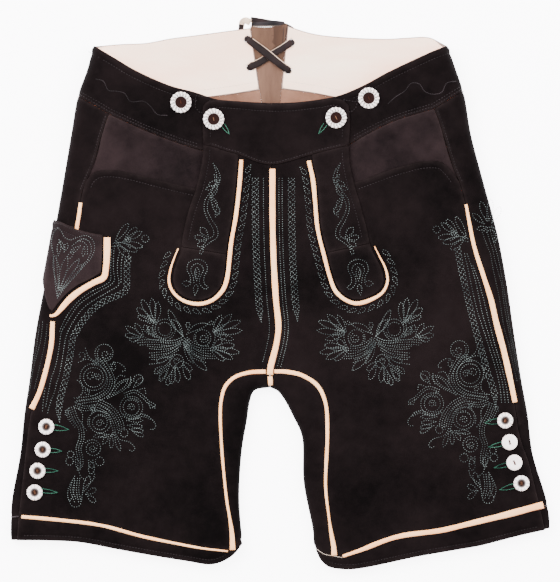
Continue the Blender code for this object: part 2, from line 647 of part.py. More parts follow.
def back_leg(side):
    c, k = C[side], SIDES.index(side)
    m = lambda name: mark(name, side)
    p = PLACKETS[side]
    outer = fold_run(side, m("seam_fold"), m("hem_fold"))
    inner = fold_run("inner", m("crotch_fold"), m("hem_inner"))
    bottom = outline(outer, c["hem_back"], back(inner), back(c["centre_back"]), back(c["gusset_foot"]),
                     back(c["gusset_lower"]), back(c["back_seam"]))
    slit_line = spline([m("slit_top"), p["top"][0]])
    hem_x = edge(m("hem_fold"), m("hem_slit"), p["low"][0])
    wrap = outline(outer, hem_x, edge(p["low"][0], p["top"][1]), edge(p["top"][1], p["top"][0]),
                   (stops(slit_line)[::-1], False), back(c["side_lower"]), back(c["side_upper"]),
                   back(c["front_seam_outer"]))
    crotch = outline(inner, back(c["hem_wrap"]), c["inseam"], c["crotch_wrap"])
    return panel(f"back_leg_{side}", [("bottom", bottom, None), ("top", wrap, placket_level(side)),
                                      ("top", crotch, None)], LEG_T, DARK)


def hem_band(side):
    c = C[side]
    m = lambda name: mark(name, side)
    p = PLACKETS[side]
    outer = fold_run(side, m("hem_fold"), m("foot_fold"))
    inner = fold_run("inner", m("hem_inner"), m("foot_inner"))
    bottom = outline(outer, c["foot_back"], back(inner), back(c["hem_back"]))
    front = outline(inner, back(c["foot_front"]), back(c["slit_hem"]), c["hem_front"], c["hem_wrap"])
    under = outline(outer, edge(m("foot_fold"), p["low"][1]), edge(p["low"][1], p["low"][0]),
                    back(edge(m("hem_fold"), m("hem_slit"), p["low"][0])))
    return panel(f"hem_band_{side}", [("bottom", bottom, None), ("top", front, None),
                                      ("top", under, placket_level(side))], LEG_T, DARK)


# ---------------------------------------------------------------- waistband, lining and gusset
LACE_HOLES = (  # name, x, y, way along the strap in degrees: slots in the ends of the back band
    ("hole_1", -35.0, 283.7, -38.0), ("hole_2", 10.6, 248.5, -38.0),
    ("hole_3", -32.5, 251.9, 32.0), ("hole_4", 13.9, 279.7, 32.0),
)
SLOT_LONG, SLOT_WIDE = LACE_W + 1.4, 4.0


def slots(side, spare=0.0):
    """The lacing slots in one half of the band, each across its strap."""
    loops = []
    for _, x, y, way in LACE_HOLES:
        if (x < GUSSET["foot"][0][0]) != (side == "right"):
            continue
        t = np.array([math.cos(math.radians(way)), math.sin(math.radians(way))])
        w = np.array([-t[1], t[0]])
        a, b = SLOT_WIDE / 2 + spare, SLOT_LONG / 2 + spare
        loops.append(np.array([(x, y) + t * i * a + w * j * b for i, j in ((-1, -1), (1, -1), (1, 1),
            (-1, 1))]))
    return loops


def waistband(side, name, outer, thick, colour, inset):
    c = C[side]
    run = fold_run(side, mark("waist_fold", side), mark("seam_fold", side))
    if inset > SEAM:
        line, _ = run
        n = len(line)
        run = fold_run(side, at(line, 2.5 * inset), at(line, lengths(line)[-1] - inset))
    back_sheet = outline(run, c["back_seam"], back(c["gusset_upper"]), back(c["back_top"]), inset=inset)
    front = outline(run, c["front_seam_outer"], c["front_seam"],
                    edge(mark("band_centre", side), mark("waist_centre", side)),
                    back(c["front_top"]), inset=inset)
    lining = inset > SEAM
    ease_off = (lambda p, d, r: -1.5 * (1 - ease(d / (2.0 * r)))) if lining else None
    sheet = ("bottom", back_sheet, ease_off, *slots(side, 0.2 if lining else 0.0))
    return panel(name, [sheet, ("top", front, ease_off)], thick, colour, outer=outer)


def back_gusset():
    (rt, lt), (rf, lf) = GUSSET["top"], GUSSET["foot"]
    rs, ls = GUSSET["seam"]
    loop = outline(
        edge(rt, (rt[0] * 0.5 + lt[0] * 0.5, rt[1] + 2.6), lt),
        edge(lt, (lt[0] * 0.96 + ls[0] * 0.04, lt[1] - LIP_DOWN)),
        C["left"]["gusset_upper"], C["left"]["gusset_lower"], C["left"]["gusset_foot"],
        back(C["right"]["gusset_foot"]), back(C["right"]["gusset_lower"]), back(C["right"]["gusset_upper"]),
        edge((rt[0] * 0.96 + rs[0] * 0.04, rt[1] - LIP_DOWN), rt),
    )
    ridge = -6.6
    level = lambda p, d, r: -0.9 * np.exp(-(((p[:, 0] - ridge) / 4.0) ** 2))
    return panel("back_gusset", [("bottom", loop, level)], LEG_T, SUEDE)


def through(name, enter, leave):
    """Points of the lace where it goes through a slot: from its level before to its level after.

    enter and leave are +1 along the strap's way and -1 against it, and the first is before it.
    """
    _, x, y, way = next(row for row in LACE_HOLES if row[0] == name)
    t = np.array([math.cos(math.radians(way)), math.sin(math.radians(way))])
    low, high = LACE_T / 2, LACE_LIFT + BAND_T + 2 * SEAM + LINING_T + SEAM + LACE_T / 2 + 0.25
    bend = ((4.6, 0.0), (1.6, 0.02), (0.45, 0.22), (0.0, 0.5), (0.45, 0.78), (1.6, 0.98), (4.6, 1.0))
    rows = []
    for i, (off, up) in enumerate(bend):
        s = (-enter * off if i < 3 else leave * off) + 0.25 * (enter - leave)
        rows.append((x + t[0] * s, y + t[1] * s, up))
    return rows, low, high


def back_lace():
    """The flat lace: two free ends over the top edge, two crossed straps inside."""
    def climb(name, enter, leave, upward):
        rows, low, high = through(name, enter, leave)
        spread = (1.0, 1.0, 1.0, 1.0, 1.0, 1.12, 1.3) if upward else (1.3, 1.12, 1.0, 1.0, 1.0, 1.0, 1.0)
        return [(x, y, low + (high - low) * (up if upward else 1 - up), share)
                for (x, y, up), share in zip(rows, spread)]
    over, under, low = 8.2, 5.6, LACE_T / 2
    # each point: x, y, height of the middle line, and the strap's width as a part of LACE_W
    route = [(-31.5, 301.5, 6.6, 1.2), (-36.7, 303.9, 5.6, 1.2), (-40.3, 302.4, 3.0, 1.1),
             (-41.6, 296.9, low + 0.1, 1.0), (-41.8, 290.5, low, 1.0)]
    route += climb("hole_1", 1, 1, True)
    route += [(-22.4, 274.2, over - 0.2, 1.42), (-11.9, 265.9, over, 1.52), (-0.7, 257.1, over - 0.2, 1.36)]
    route += climb("hole_2", 1, -1, False)
    route += [(0.0, 255.3, low, 1.0), (-12.1, 258.2, low, 1.0), (-22.0, 256.4, low, 1.0)]
    route += climb("hole_3", -1, 1, True)
    route += [(-21.1, 258.0, under + 0.3, 1.34), (-8.8, 265.9, under, 1.28),
    (2.9, 272.9, under + 0.3, 1.24)]
    route += climb("hole_4", 1, 1, False)
    route += [(20.0, 285.9, low, 1.0), (17.8, 290.7, low, 1.0), (11.0, 296.2, low, 1.05),
              (1.1, 299.5, low, 1.15), (-11.0, 301.6, low, 1.15), (-22.0, 303.7, low + 0.5, 1.1),
              (-31.2, 305.4, low + 1.2, 1.0)]
    run = spline3(np.array(route, float), 4.5)
    flat = run[:, :3]
    t = np.gradient(flat, axis=0)
    t /= np.linalg.norm(t, axis=1)[:, None]
    wide, last = [], np.array([1.0, 0.0, 0.0])
    for i, d in enumerate(t):
        level = np.array([-d[1], d[0], 0.0])
        size = np.linalg.norm(level)
        level = level / max(size, 1e-9)
        level = -level if level @ last < 0 else level
        w = last if size < 0.75 else level
        w = w - d * (w @ d)
        w /= np.linalg.norm(w)
        wide.append(w)
        last = w
    wide = np.array(wide)
    up = np.cross(t, wide)
    a, b = wide * (LACE_W / 2 * run[:, 3:]), up * LACE_T / 2
    V = np.stack([flat - a - b, flat + a - b, flat + a + b, flat - a + b], axis=1)
    faces, n = [], len(flat)
    for i in range(n - 1):
        for j in range(4):
            p, q = i * 4 + j, i * 4 + (j + 1) % 4
            faces += [(p, q, q + 4), (p, q + 4, p + 4)]
    faces += [(0, 2, 1), (0, 3, 2), (4 * n - 4, 4 * n - 3, 4 * n - 2), (4 * n - 4, 4 * n - 2, 4 * n - 1)]
    V = V.reshape(-1, 3)
    V[:, 2] = np.maximum(V[:, 2], 0.0)
    return body("back_lace", V, faces, LACE)


def spline3(rows, step):
    """A smooth line through points in space, each kept, with more between where they lie apart."""
    p = np.vstack([2 * rows[0] - rows[1], rows, 2 * rows[-1] - rows[-2]])
    out = [p[1]]
    for a, b, c, d in zip(p[:-3], p[1:-2], p[2:-1], p[3:]):
        ta, tb, tc = (np.linalg.norm(q) ** 0.5 for q in (b - a, c - b, d - c))
        m0 = (b - a) / ta - (c - a) / (ta + tb) + (c - b) / tb
        m1 = (c - b) / tb - (d - b) / (tb + tc) + (d - c) / tc
        for t in np.linspace(0, 1, max(1, round(tb * tb / step)) + 1)[1:]:
            out.append((2 * t**3 - 3 * t**2 + 1) * b + (t**3 - 2 * t**2 + t) * m0 * tb
                       + (-2 * t**3 + 3 * t**2) * c + (t**3 - t**2) * m1 * tb)
    return np.array(out)


# ---------------------------------------------------------------- drop-front flap
FLAP_TOP = ((-83.6, 208.5), (-79.2, 213.4), (-72.6, 215.1), (-40.7, 213.4), (-22.0, 211.8),
            (4.4, 211.1), (45.1, 215.1),
            (59.4, 217.5), (70.4, 215.1), (76.5, 209.6))
FLAP_LOW = ((-83.2, 166.2), (-74.8, 165.1), (-59.7, 160.1), (-44.0, 155.7), (-24.2, 147.5),
            (-7.3, 144.7), (9.9, 148.0),
            (31.9, 154.6), (51.3, 160.1), (69.3, 164.2), (76.7, 166.0))
STRIPS = {  # outer edge, seam to the flap band, inner edge by the piping
    "right": dict(
        outer=((-83.2, 166.2), (-83.6, 155.7), (-85.8, 141.4), (-90.8, 119.4), (-99.4, 94.1),
               (-106.5, 62.2), (-107.1, 54.5)),
        inner=((-44.9, 155.3), (-46.4, 128.2), (-50.8, 88.6), (-55.9, 59.4), (-58.7, 46.1)),
        pipe=((-41.4, 150.2), (-42.9, 128.2), (-47.3, 88.6), (-52.4, 59.4), (-57.9, 16.0), (-63.1, 5.0),
              (-74.1, -4.5),
              (-88.7, -8.2), (-106.0, -3.9), (-117.3, 6.5), (-120.7, 17.1), (-118.9, 30.3),
              (-114.8, 42.4), (-110.4, 52.9)),
    ),
    "left": dict(
        outer=((76.7, 166.0), (77.4, 150.2), (82.0, 126.0), (89.5, 100.7), (97.0, 72.1), (99.7, 58.3)),
        inner=((35.6, 155.7), (36.7, 144.7), (40.9, 128.2), (43.2, 104.0), (46.0, 74.2), (51.9, 48.3)),
        pipe=((32.6, 149.1), (37.2, 128.2), (39.6, 104.0), (42.4, 74.2), (49.5, 44.6), (55.4, 22.6),
              (62.3, 5.6),
              (73.7, -4.1), (85.1, -7.6), (99.0, -4.3), (113.7, 4.5), (119.0, 16.0), (117.0, 30.3),
              (110.2, 44.0),
              (104.7, 55.1)),
    ),
}
UPPER = SEAM          # the flap's layer lies on the legs and band


def flap_level(p, d, r):
    return np.full(len(p), UPPER + LEG_T)


def flap_band():
    loop = outline(edge(FLAP_LOW[0], (-84.0, 188.7), FLAP_TOP[0]), edge(*FLAP_TOP),
                   edge(FLAP_TOP[-1], (78.1, 188.7), FLAP_LOW[-1]), back(edge(*FLAP_LOW)))
    return panel("flap_band", [("top", loop, flap_level)], LEG_T, DARK)


def along_piping(side, start, stop, gap=PIPE_W / 2 + 0.8):
    """The line beside the flap's piping, on the inside of its bend."""
    line = spline(STRIPS[side]["pipe"])
    t = np.gradient(line, axis=0)
    t /= np.linalg.norm(t, axis=1)[:, None]
    n = np.stack([t[:, 1], -t[:, 0]], axis=1) * (1 if side == "right" else -1)
    line = line + n * gap
    a = np.linalg.norm(line - np.array(start), axis=1).argmin()
    b = np.linalg.norm(line - np.array(stop), axis=1).argmin()
    return line[a : b + 1]


def flap_side(side):
    """The strip down one side of the flap and the rounded tongue it ends in."""
    s = STRIPS[side]
    low = spline(FLAP_LOW)
    a = np.linalg.norm(low - np.array(s["outer"][0]), axis=1).argmin()
    b = np.linalg.norm(low - np.array(s["inner"][0]), axis=1).argmin()
    head = low[min(a, b) : max(a, b) + 1]
    head = head if a < b else head[::-1]
    beside = along_piping(side, s["inner"][0], s["pipe"][-1])
    knee = np.linalg.norm(beside - np.array(s["inner"][-1]), axis=1).argmin()
    inner = np.vstack([head[-1:], beside[2 : knee + 1]])
    tongue_seam = spline([s["outer"][-1], tuple(inner[-1])])
    loop = outline((stops(head), False), (stops(inner), False), (stops(tongue_seam)[::-1], False),
                   back(edge(*s["outer"])))
    strip = panel(f"flap_strip_{side}", [("top", loop, flap_level)], LEG_T, DARK)
    rest = beside[knee:]
    rest = rest[: np.linalg.norm(rest - np.array(s["outer"][-1]), axis=1).argmin()]
    rest = np.vstack([rest, [s["outer"][-1]]])
    loop = outline((stops(tongue_seam), False), (stops(rest, 9.0), False))
    tongue = panel(f"flap_tongue_{side}", [("top", loop, flap_level)], LEG_T, DARK)
    pipe = ribbon(f"piping_flap_{side}", s["pipe"], PIPING)
    return strip, tongue, pipe


# ---------------------------------------------------------------- pockets
FACINGS = {  # the leather behind each front pocket's mouth: its far side, foot and near side
    "right": dict(far=((-60.5, 158.5), (-62.7, 126.0), (-67.1, 93.0)),
                  foot=((-67.1, 93.0), (-97.9, 94.1), (-130.9, 99.6), (-162.8, 107.3), (-185.9, 110.6),
                        (-214.0, 112.8)),
                  near=((-214.0, 112.8), (-213.6, 124.9), (-207.2, 139.2),
                        (-201.1, 152.4)), fade=(-100.1, -86.9), side_y=(161.2, 178.8)),
    "left": dict(far=((56.1, 158.5), (57.2, 126.0), (61.6, 97.4)),
                 foot=((61.6, 97.4), (85.8, 100.7), (118.8, 110.6), (146.3, 119.4), (166.1, 119.4),
                       (197.5, 117.2)),
                 near=((197.5, 117.2), (196.1, 129.2), (190.7, 144.1),
                       (186.1, 156.8)), fade=(93.5, 80.3), side_y=(168.9, 184.3)),
}


def pocket_facing(side):
    f, c = FACINGS[side], C[side]
    seam = c["front_seam"][0]
    upper = c["side_upper"][0]
    turn = f["far"][0][0]
    keep = seam[:, 0] < turn - 6 if side == "right" else seam[:, 0] > turn + 6
    top = np.vstack([seam[keep], [(turn, seam[~keep][0, 1])]])
    stop = np.linalg.norm(upper - np.array(f["near"][-1]), axis=1).argmin()
    near_side = np.vstack([[f["near"][-1]], upper[max(1, stop - 1) :: -1]]) if stop > 0 else upper[:1]
    far = edge((turn, top[-1, 1]), *f["far"][1:])
    dense_seam, dense_side = seam, upper

    def level(p, d, r):
        def gap(line):
            q, a, b = p[:, None, :], line[:-1], line[1:]
            ab = b - a
            t = np.clip(((q - a) * ab).sum(2) / (ab**2).sum(1), 0, 1)
            return np.linalg.norm(q - a - t[..., None] * ab, axis=2).min(1)
        x0, x1 = f["fade"]
        y0, y1 = f["side_y"]
        band = (1 - ease((gap(dense_seam) - 0.4) / 15)) * (1 - ease((p[:, 0] - x0) / (x1 - x0)))
        edge_side = (1 - ease((gap(dense_side) - 0.4) / 13)) * ease((p[:, 1] - y0) / (y1 - y0))
        return -UNDER * (1 - np.maximum(band, edge_side))

    loop = outline((top, False), far, edge(*f["foot"]), edge(*f["near"]), (near_side, False))
    return panel(f"pocket_facing_{side}", [("top", loop, level)], LEG_T, FACING, grid=12.0)


KNIFE = dict(
    mouth=((-248.6, 83.7), (-238.7, 81.7), (-222.8, 74.9), (-207.9, 70.3), (-193.2, 67.7)),
    right=((-193.2, 67.7), (-194.0, 44.6), (-195.4, 26.1)),
    foot=((-195.4, 26.1), (-207.5, 19.0), (-221.5, 12.0), (-234.3, 1.7), (-243.5, -8.9), (-249.0, -16.2)),
    side=((-255.6, 0.6), (-254.3, -7.2), (-252.3, -13.1), (-249.0, -16.2)),
    fold=((-248.6, 83.7), (-256.3, 14.9)),
    pipe=((-188.5, 65.0), (-189.0, 43.5), (-190.3, 28.1), (-192.1, 21.0), (-203.1, 15.3), (-218.0, 6.5),
          (-230.1, -3.2),
          (-239.9, -14.4), (-244.2, -19.2), (-248.2, -21.2), (-251.5, -20.8)),
)


def knife_pocket():
    side = "right"
    fold = FOLDS[side]
    ends = [fold[np.abs(fold[:, 1] - KNIFE[part][k][1]).argmin()] for part, k in (("mouth", 0),
        ("fold", 1))]
    run = fold_run(side, *ends)
    line = run[0]
    mouth = edge(tuple(line[0]), *KNIFE["mouth"][1:])
    loop = outline(run, edge(tuple(line[-1]), *KNIFE["side"]), back(edge(*KNIFE["foot"])),
                   back(edge(*KNIFE["right"])), back(mouth))
    a, b = np.array(KNIFE["mouth"][0]), np.array(KNIFE["mouth"][-1])

    def level(p, d, r):
        across = np.clip((p[:, 0] - line[0][0]) / (b[0] - line[0][0]), 0, 1)
        down = np.clip((KNIFE["mouth"][0][1] - p[:, 1]) / 70.0, 0, 1)
        puff = np.clip(4 * across * (1 - across), 0, 1) ** 0.7 * ease(d / r) * (1 - down) ** 2
        return SEAM + LEG_T + 1.3 * (1 - ease(d / (2 * r))) + 0.1 + (POCKET_MOUTH - SEAM) * puff
    return panel("knife_pocket", [("top", loop, level)], LEG_T, FACING, grid=12.0)


# ---------------------------------------------------------------- build every piece
for side in SIDES:
    front_leg(side)
    back_leg(side)
    hem_band(side)
    waistband(side, f"waistband_{side}", 0.0, BAND_T, DARK, SEAM / 2)
    waistband(side, f"waistband_lining_{side}", -(BAND_T + SEAM), LINING_T, CREAM, 1.2)
    pocket_facing(side)
    flap_side(side)
back_gusset()
back_lace()
flap_band()
knife_pocket()

PIPINGS = {  # name: points along its middle
    "piping_centre_front": ((-7.2, 140.2), (-7.2, 95.2), (-6.1, 45.7), (-3.3, -3.9), (-0.6, -32.5),
                            (-2.2, -49.0),
                            (-6.1, -65.5), (-9.2, -77.6), (-9.9, -85.9)),
    "piping_crotch": ((-9.9, -87.7), (-9.2, -96.7)),
    "piping_inseam_right": ((-14.5, -82.4), (-31.9, -83.4), (-48.4, -88.6), (-58.9, -99.0),
                            (-63.5, -115.0), (-64.4, -130.4),
                            (-62.7, -168.9), (-57.4, -223.9), (-54.1, -243.7), (-51.7, -261.2),
                            (-51.0, -278.2)),
    "piping_inseam_left": ((-5.1, -82.2), (9.9, -82.8), (26.4, -87.0), (42.4, -98.2), (50.8, -116.1),
                           (53.1, -146.9),
                           (51.2, -208.5), (54.7, -241.5), (57.6, -261.2), (60.0, -274.5), (60.7, -284.4)),
    "piping_side_right_top": ((-217.6, 102.9), (-219.3, 88.6), (-221.5, 76.5), (-223.5, 66.6)),
    "piping_side_right": ((-248.4, -27.4), (-249.7, -52.3), (-255.2, -78.7), (-262.9, -105.1),
                          (-271.3, -123.2)),
    "piping_side_left": ((205.0, 101.2), (214.0, 55.6), (225.0, 20.4), (232.1, -1.7), (238.7, -30.3),
                         (246.4, -58.9), (253.0, -87.5),
                         (258.9, -116.1)),
    "piping_hem_right": ((-282.7, -241.7), (-247.5, -244.8), (-196.9, -251.1), (-149.6, -263.5),
                         (-110.0, -271.7), (-80.3, -277.0), (-56.1, -279.7)),
    "piping_hem_left": ((290.0, -228.9), (280.5, -231.3), (246.4, -240.4), (210.1, -249.2),
                        (178.2, -256.9), (134.2, -262.9), (115.5, -268.3),
                        (90.8, -277.9), (78.7, -282.2), (70.0, -285.2)),
    "piping_knife_pocket": KNIFE["pipe"],
}
for name, points in PIPINGS.items():
    ribbon(name, points, PIPING)

BUTTONS = (  # name, x, y, across, height of the layer it lies on
    ("button_waist_right", -107.4, 212.9, 24.0, 0.0),
    ("button_waist_left", 98.3, 217.5, 24.0, 0.0),
    ("button_flap_right", -71.7, 194.6, 24.0, SEAM + LEG_T),
    ("button_flap_left", 62.7, 196.1, 24.0, SEAM + LEG_T),
    ("button_leg_right_1", -255.4, -142.8, 18.6, 0.0),
    ("button_leg_right_2", -259.4, -167.9, 18.6, 0.0),
    ("button_leg_right_3", -265.1, -191.3, 18.6, 0.0),
    ("button_leg_right_4", -268.2, -215.1, 18.6, 0.0),
    ("button_leg_left_1", 248.2, -135.9, 18.6, 0.0),
    ("button_leg_left_2", 253.1, -159.8, 18.6, 0.0),
    ("button_leg_left_3", 258.4, -182.2, 18.6, 0.0),
    ("button_leg_left_4", 266.2, -205.0, 18.6, 0.0),
)
for name, x, y, across, layer in BUTTONS:
    button(name, x, y, across, HORN, layer + SEAM)
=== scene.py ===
"""Short leather trousers with a drop front, dressed leather by leather over their solids.

+X is the wearer's left, +Y is towards the waist, +Z is up from the surface they lie on.
Tables are in millimetres, as the leather is cut; put() turns them into metres.
"""

import math

import bpy
import numpy as np
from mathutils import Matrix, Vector
from mathutils.bvhtree import BVHTree
from mathutils.geometry import delaunay_2d_cdt


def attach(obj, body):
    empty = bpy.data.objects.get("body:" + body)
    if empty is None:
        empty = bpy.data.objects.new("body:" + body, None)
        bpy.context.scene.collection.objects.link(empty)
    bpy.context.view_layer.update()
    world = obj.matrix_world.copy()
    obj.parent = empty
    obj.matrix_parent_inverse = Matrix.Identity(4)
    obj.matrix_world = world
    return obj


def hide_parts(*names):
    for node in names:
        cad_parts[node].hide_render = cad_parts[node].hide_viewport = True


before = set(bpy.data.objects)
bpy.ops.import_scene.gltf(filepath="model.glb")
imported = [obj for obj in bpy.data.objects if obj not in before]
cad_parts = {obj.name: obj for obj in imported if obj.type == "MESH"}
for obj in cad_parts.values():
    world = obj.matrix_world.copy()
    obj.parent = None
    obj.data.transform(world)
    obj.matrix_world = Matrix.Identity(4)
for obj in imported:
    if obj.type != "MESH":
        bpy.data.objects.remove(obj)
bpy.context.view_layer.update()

# ---------------------------------------------------------------- view, floor and light
# The trousers lie on their back on a pale studio floor lit from below, seen from straight above,
# in the even light of two large soft lamps and a bright room.
VIEW_HIGH, VIEW_WIDE = 3.6, 0.6146          # metres: camera over the leather, width it takes in
lens = bpy.data.cameras.new("camera")
lens.sensor_fit, lens.sensor_width = "HORIZONTAL", 36.0
lens.lens = lens.sensor_width * VIEW_HIGH / VIEW_WIDE
camera = bpy.data.objects.new("camera", lens)
camera.location = (0.0011, 0.0061, VIEW_HIGH + 0.016)
bpy.context.scene.collection.objects.link(camera)
bpy.context.scene.camera = camera

FLOOR_HALF, FLOOR_DOWN = 4.0, 0.0008        # metres: half its side, and how far it is under the leather
floor_mesh = bpy.data.meshes.new("studio_floor")
floor_mesh.from_pydata([(x * FLOOR_HALF, y * FLOOR_HALF, -FLOOR_DOWN)
                        for x, y in ((-1, -1), (1, -1), (1, 1), (-1, 1))], [], [(0, 1, 2, 3)])
floor = bpy.data.objects.new("studio_floor", floor_mesh)
bpy.context.scene.collection.objects.link(floor)
paper = bpy.data.materials.new("studio_paper")
paper.use_nodes = True
for socket, value in (("Base Color", (0.93, 0.92, 0.94, 1)), ("Roughness", 0.9),
                      ("Emission Color", (1.0, 0.98, 1.0, 1)), ("Emission Strength", 6.5)):
    paper.node_tree.nodes["Principled BSDF"].inputs[socket].default_value = value
floor_mesh.materials.append(paper)

LAMPS = (  # name, place, size, watts
    ("lamp_left", (-1.1, 0.9, 1.7), 1.4, 122.0), ("lamp_right", (1.3, 0.5, 1.5), 1.5, 58.0),
)
for name, place, size, watts in LAMPS:
    lamp = bpy.data.lights.new(name, "AREA")
    lamp.size, lamp.energy = size, watts
    holder = bpy.data.objects.new(name, lamp)
    holder.location = place
    holder.rotation_euler = (-Vector(place)).to_track_quat("-Z", "Y").to_euler()
    bpy.context.scene.collection.objects.link(holder)
room = bpy.data.worlds.new("room")
room.use_nodes = True
for socket, value in (("Color", (0.98, 0.98, 1.0, 1)), ("Strength", 2.0)):
    room.node_tree.nodes["Background"].inputs[socket].default_value = value
bpy.context.scene.world = room


# ---------------------------------------------------------------- back lace
# A flat leather lace draws the back of the waistband together: two crossed straps inside the
# band and two free ends, cut square, over its top edge. Its cut edges are paler than its face.
LACE_W, LACE_T = 6.0, 1.7
BAND_T, LINING_T, SEAM = 1.6, 1.2, 0.3       # waistband, its lining, and the air at a seam
LACE_LIFT = LACE_T + 0.4
LACE_HOLES = (  # name, x, y, way along the strap in degrees: slots in the ends of the back band
    ("hole_1", -35.0, 283.7, -38.0), ("hole_2", 10.6, 248.5, -38.0), ("hole_3", -32.5, 251.9, 32.0),
    ("hole_4", 13.9, 279.7, 32.0),
)


def tone(red, green, blue):
    """A colour as a painter's 0 to 255 values, made linear."""
    return (*[(c / 255) ** 2.2 for c in (red, green, blue)], 1)


def wire(tree, part, wires):
    """Links a node's sockets to the outputs given for them, or sets them to the values given."""
    for socket, value in wires:
        if isinstance(value, bpy.types.NodeSocket):
            tree.links.new(value, part.inputs[socket])
        else:
            part.inputs[socket].default_value = value


def node(tree, kind, wires=(), **settings):
    """A new node in a tree, set up and wired."""
    part = tree.nodes.new(kind)
    for key, value in settings.items():
        setattr(part, key, value)
    wire(tree, part, wires)
    return part


def two_tone(tree, share, *stops):
    """A colour that runs between two tones: (position, tone), (position, tone)."""
    ramp = node(tree, "ShaderNodeValToRGB", [("Fac", share)])
    for element, (position, colour) in zip(ramp.color_ramp.elements, stops):
        element.position, element.color = position, tone(*colour)
    return ramp.outputs["Color"]


def hide(name, deep, pale, rough=0.85, sheen=0.35, cloud=8.0, mottle=75.0, nap=1300.0, raise_mm=0.25,
         worn=None, streak=(1, 1, 1), shine=0.25):
    """Napped leather: cloudy patches, finer mottling and the nap itself, paler along worn edges."""
    m = bpy.data.materials.new(name)
    m.use_nodes = True
    tree = m.node_tree
    place = node(tree, "ShaderNodeTexCoord").outputs["Object"]
    spread = node(tree, "ShaderNodeMapping", [("Vector", place), ("Scale", streak)]).outputs["Vector"]

    def noise(scale, detail, roughness=0.55):
        return node(tree, "ShaderNodeTexNoise", [("Vector", spread), ("Scale", scale), ("Detail", detail),
                                                 ("Roughness", roughness)]).outputs["Fac"]

    def blend(kind, *values):
        return node(tree, "ShaderNodeMath", enumerate(values), operation=kind).outputs[0]

    broad, middle, fine = noise(cloud, 3.0), noise(mottle, 4.0, 0.65), noise(nap, 2.0)
    share = blend("MULTIPLY_ADD", broad, 0.9, blend("MULTIPLY", fine, 0.3))
    colour = two_tone(tree, blend("MULTIPLY_ADD", middle, 0.34, share), (0.6, deep), (0.98, pale))
    if worn is not None:
        edge_of = node(tree, "ShaderNodeAttribute", attribute_name="worn").outputs["Fac"]
        rub = blend("MULTIPLY", edge_of, blend("MULTIPLY_ADD", middle, 1.5, -0.25))
        colour = node(tree, "ShaderNodeMix", [("Factor", rub), ("A", colour), ("B", tone(*worn))],
                      data_type="RGBA").outputs["Result"]
    grain = node(tree, "ShaderNodeBump", [("Strength", 0.55), ("Distance", raise_mm / 1000),
                                          ("Height", blend("MULTIPLY_ADD", fine, 0.7, middle))])
    wire(tree, tree.nodes["Principled BSDF"], (
        ("Base Color", colour), ("Roughness", blend("MULTIPLY_ADD", middle, -0.16, rough + 0.08)),
        ("Normal", grain.outputs["Normal"]), ("Sheen Weight", sheen), ("Sheen Roughness", 0.45),
        ("Sheen Tint", tone(*pale)), ("Specular IOR Level", shine)))
    return m


def put(name, points, faces, finishes, marks=None):
    """A mesh from points in millimetres, with one finish or several and a finish number per face."""
    mesh = bpy.data.meshes.new(name)
    mesh.from_pydata([tuple(p) for p in np.asarray(points) / 1000], [], [tuple(map(int, f)) for f in faces])
    finishes = finishes if isinstance(finishes, (list, tuple)) else [finishes]
    for finish in finishes:
        mesh.materials.append(finish)
    if marks is not None:
        mesh.polygons.foreach_set("material_index", marks)
    mesh.polygons.foreach_set("use_smooth", [True] * len(mesh.polygons))
    mesh.update()
    piece = bpy.data.objects.new(name, mesh)
    bpy.context.scene.collection.objects.link(piece)
    return piece


def smooth_run(rows, steps):
    """A smooth line through points, each kept, with steps(length) points in each stretch between."""
    p = np.vstack([2 * rows[0] - rows[1], rows, 2 * rows[-1] - rows[-2]])
    out = [p[1]]
    for a, b, c, d in zip(p[:-3], p[1:-2], p[2:-1], p[3:]):
        ta, tb, tc = (np.linalg.norm(q) ** 0.5 for q in (b - a, c - b, d - c))
        m0 = (b - a) / ta - (c - a) / (ta + tb) + (c - b) / tb
        m1 = (c - b) / tb - (d - b) / (tb + tc) + (d - c) / tc
        for t in np.linspace(0, 1, max(1, steps(tb * tb)) + 1)[1:]:
            out.append((2 * t**3 - 3 * t**2 + 1) * b + (t**3 - 2 * t**2 + t) * m0 * tb
                       + (-2 * t**3 + 3 * t**2) * c + (t**3 - t**2) * m1 * tb)
    return np.array(out)


def through(name, enter, leave):
    """Points of the lace where it goes through a slot: from its level before to its level after.

    enter and leave are +1 along the strap's way and -1 against it, and the first is before it.
    """
    _, x, y, way = next(row for row in LACE_HOLES if row[0] == name)
    t = np.array([math.cos(math.radians(way)), math.sin(math.radians(way))])
    low, high = LACE_T / 2, LACE_LIFT + BAND_T + 2 * SEAM + LINING_T + SEAM + LACE_T / 2 + 0.25
    bend = ((4.6, 0.0), (1.6, 0.02), (0.45, 0.22), (0.0, 0.5), (0.45, 0.78), (1.6, 0.98), (4.6, 1.0))
    rows = []
    for i, (off, up) in enumerate(bend):
        s = (-enter * off if i < 3 else leave * off) + 0.25 * (enter - leave)
        rows.append((x + t[0] * s, y + t[1] * s, up))
    return rows, low, high


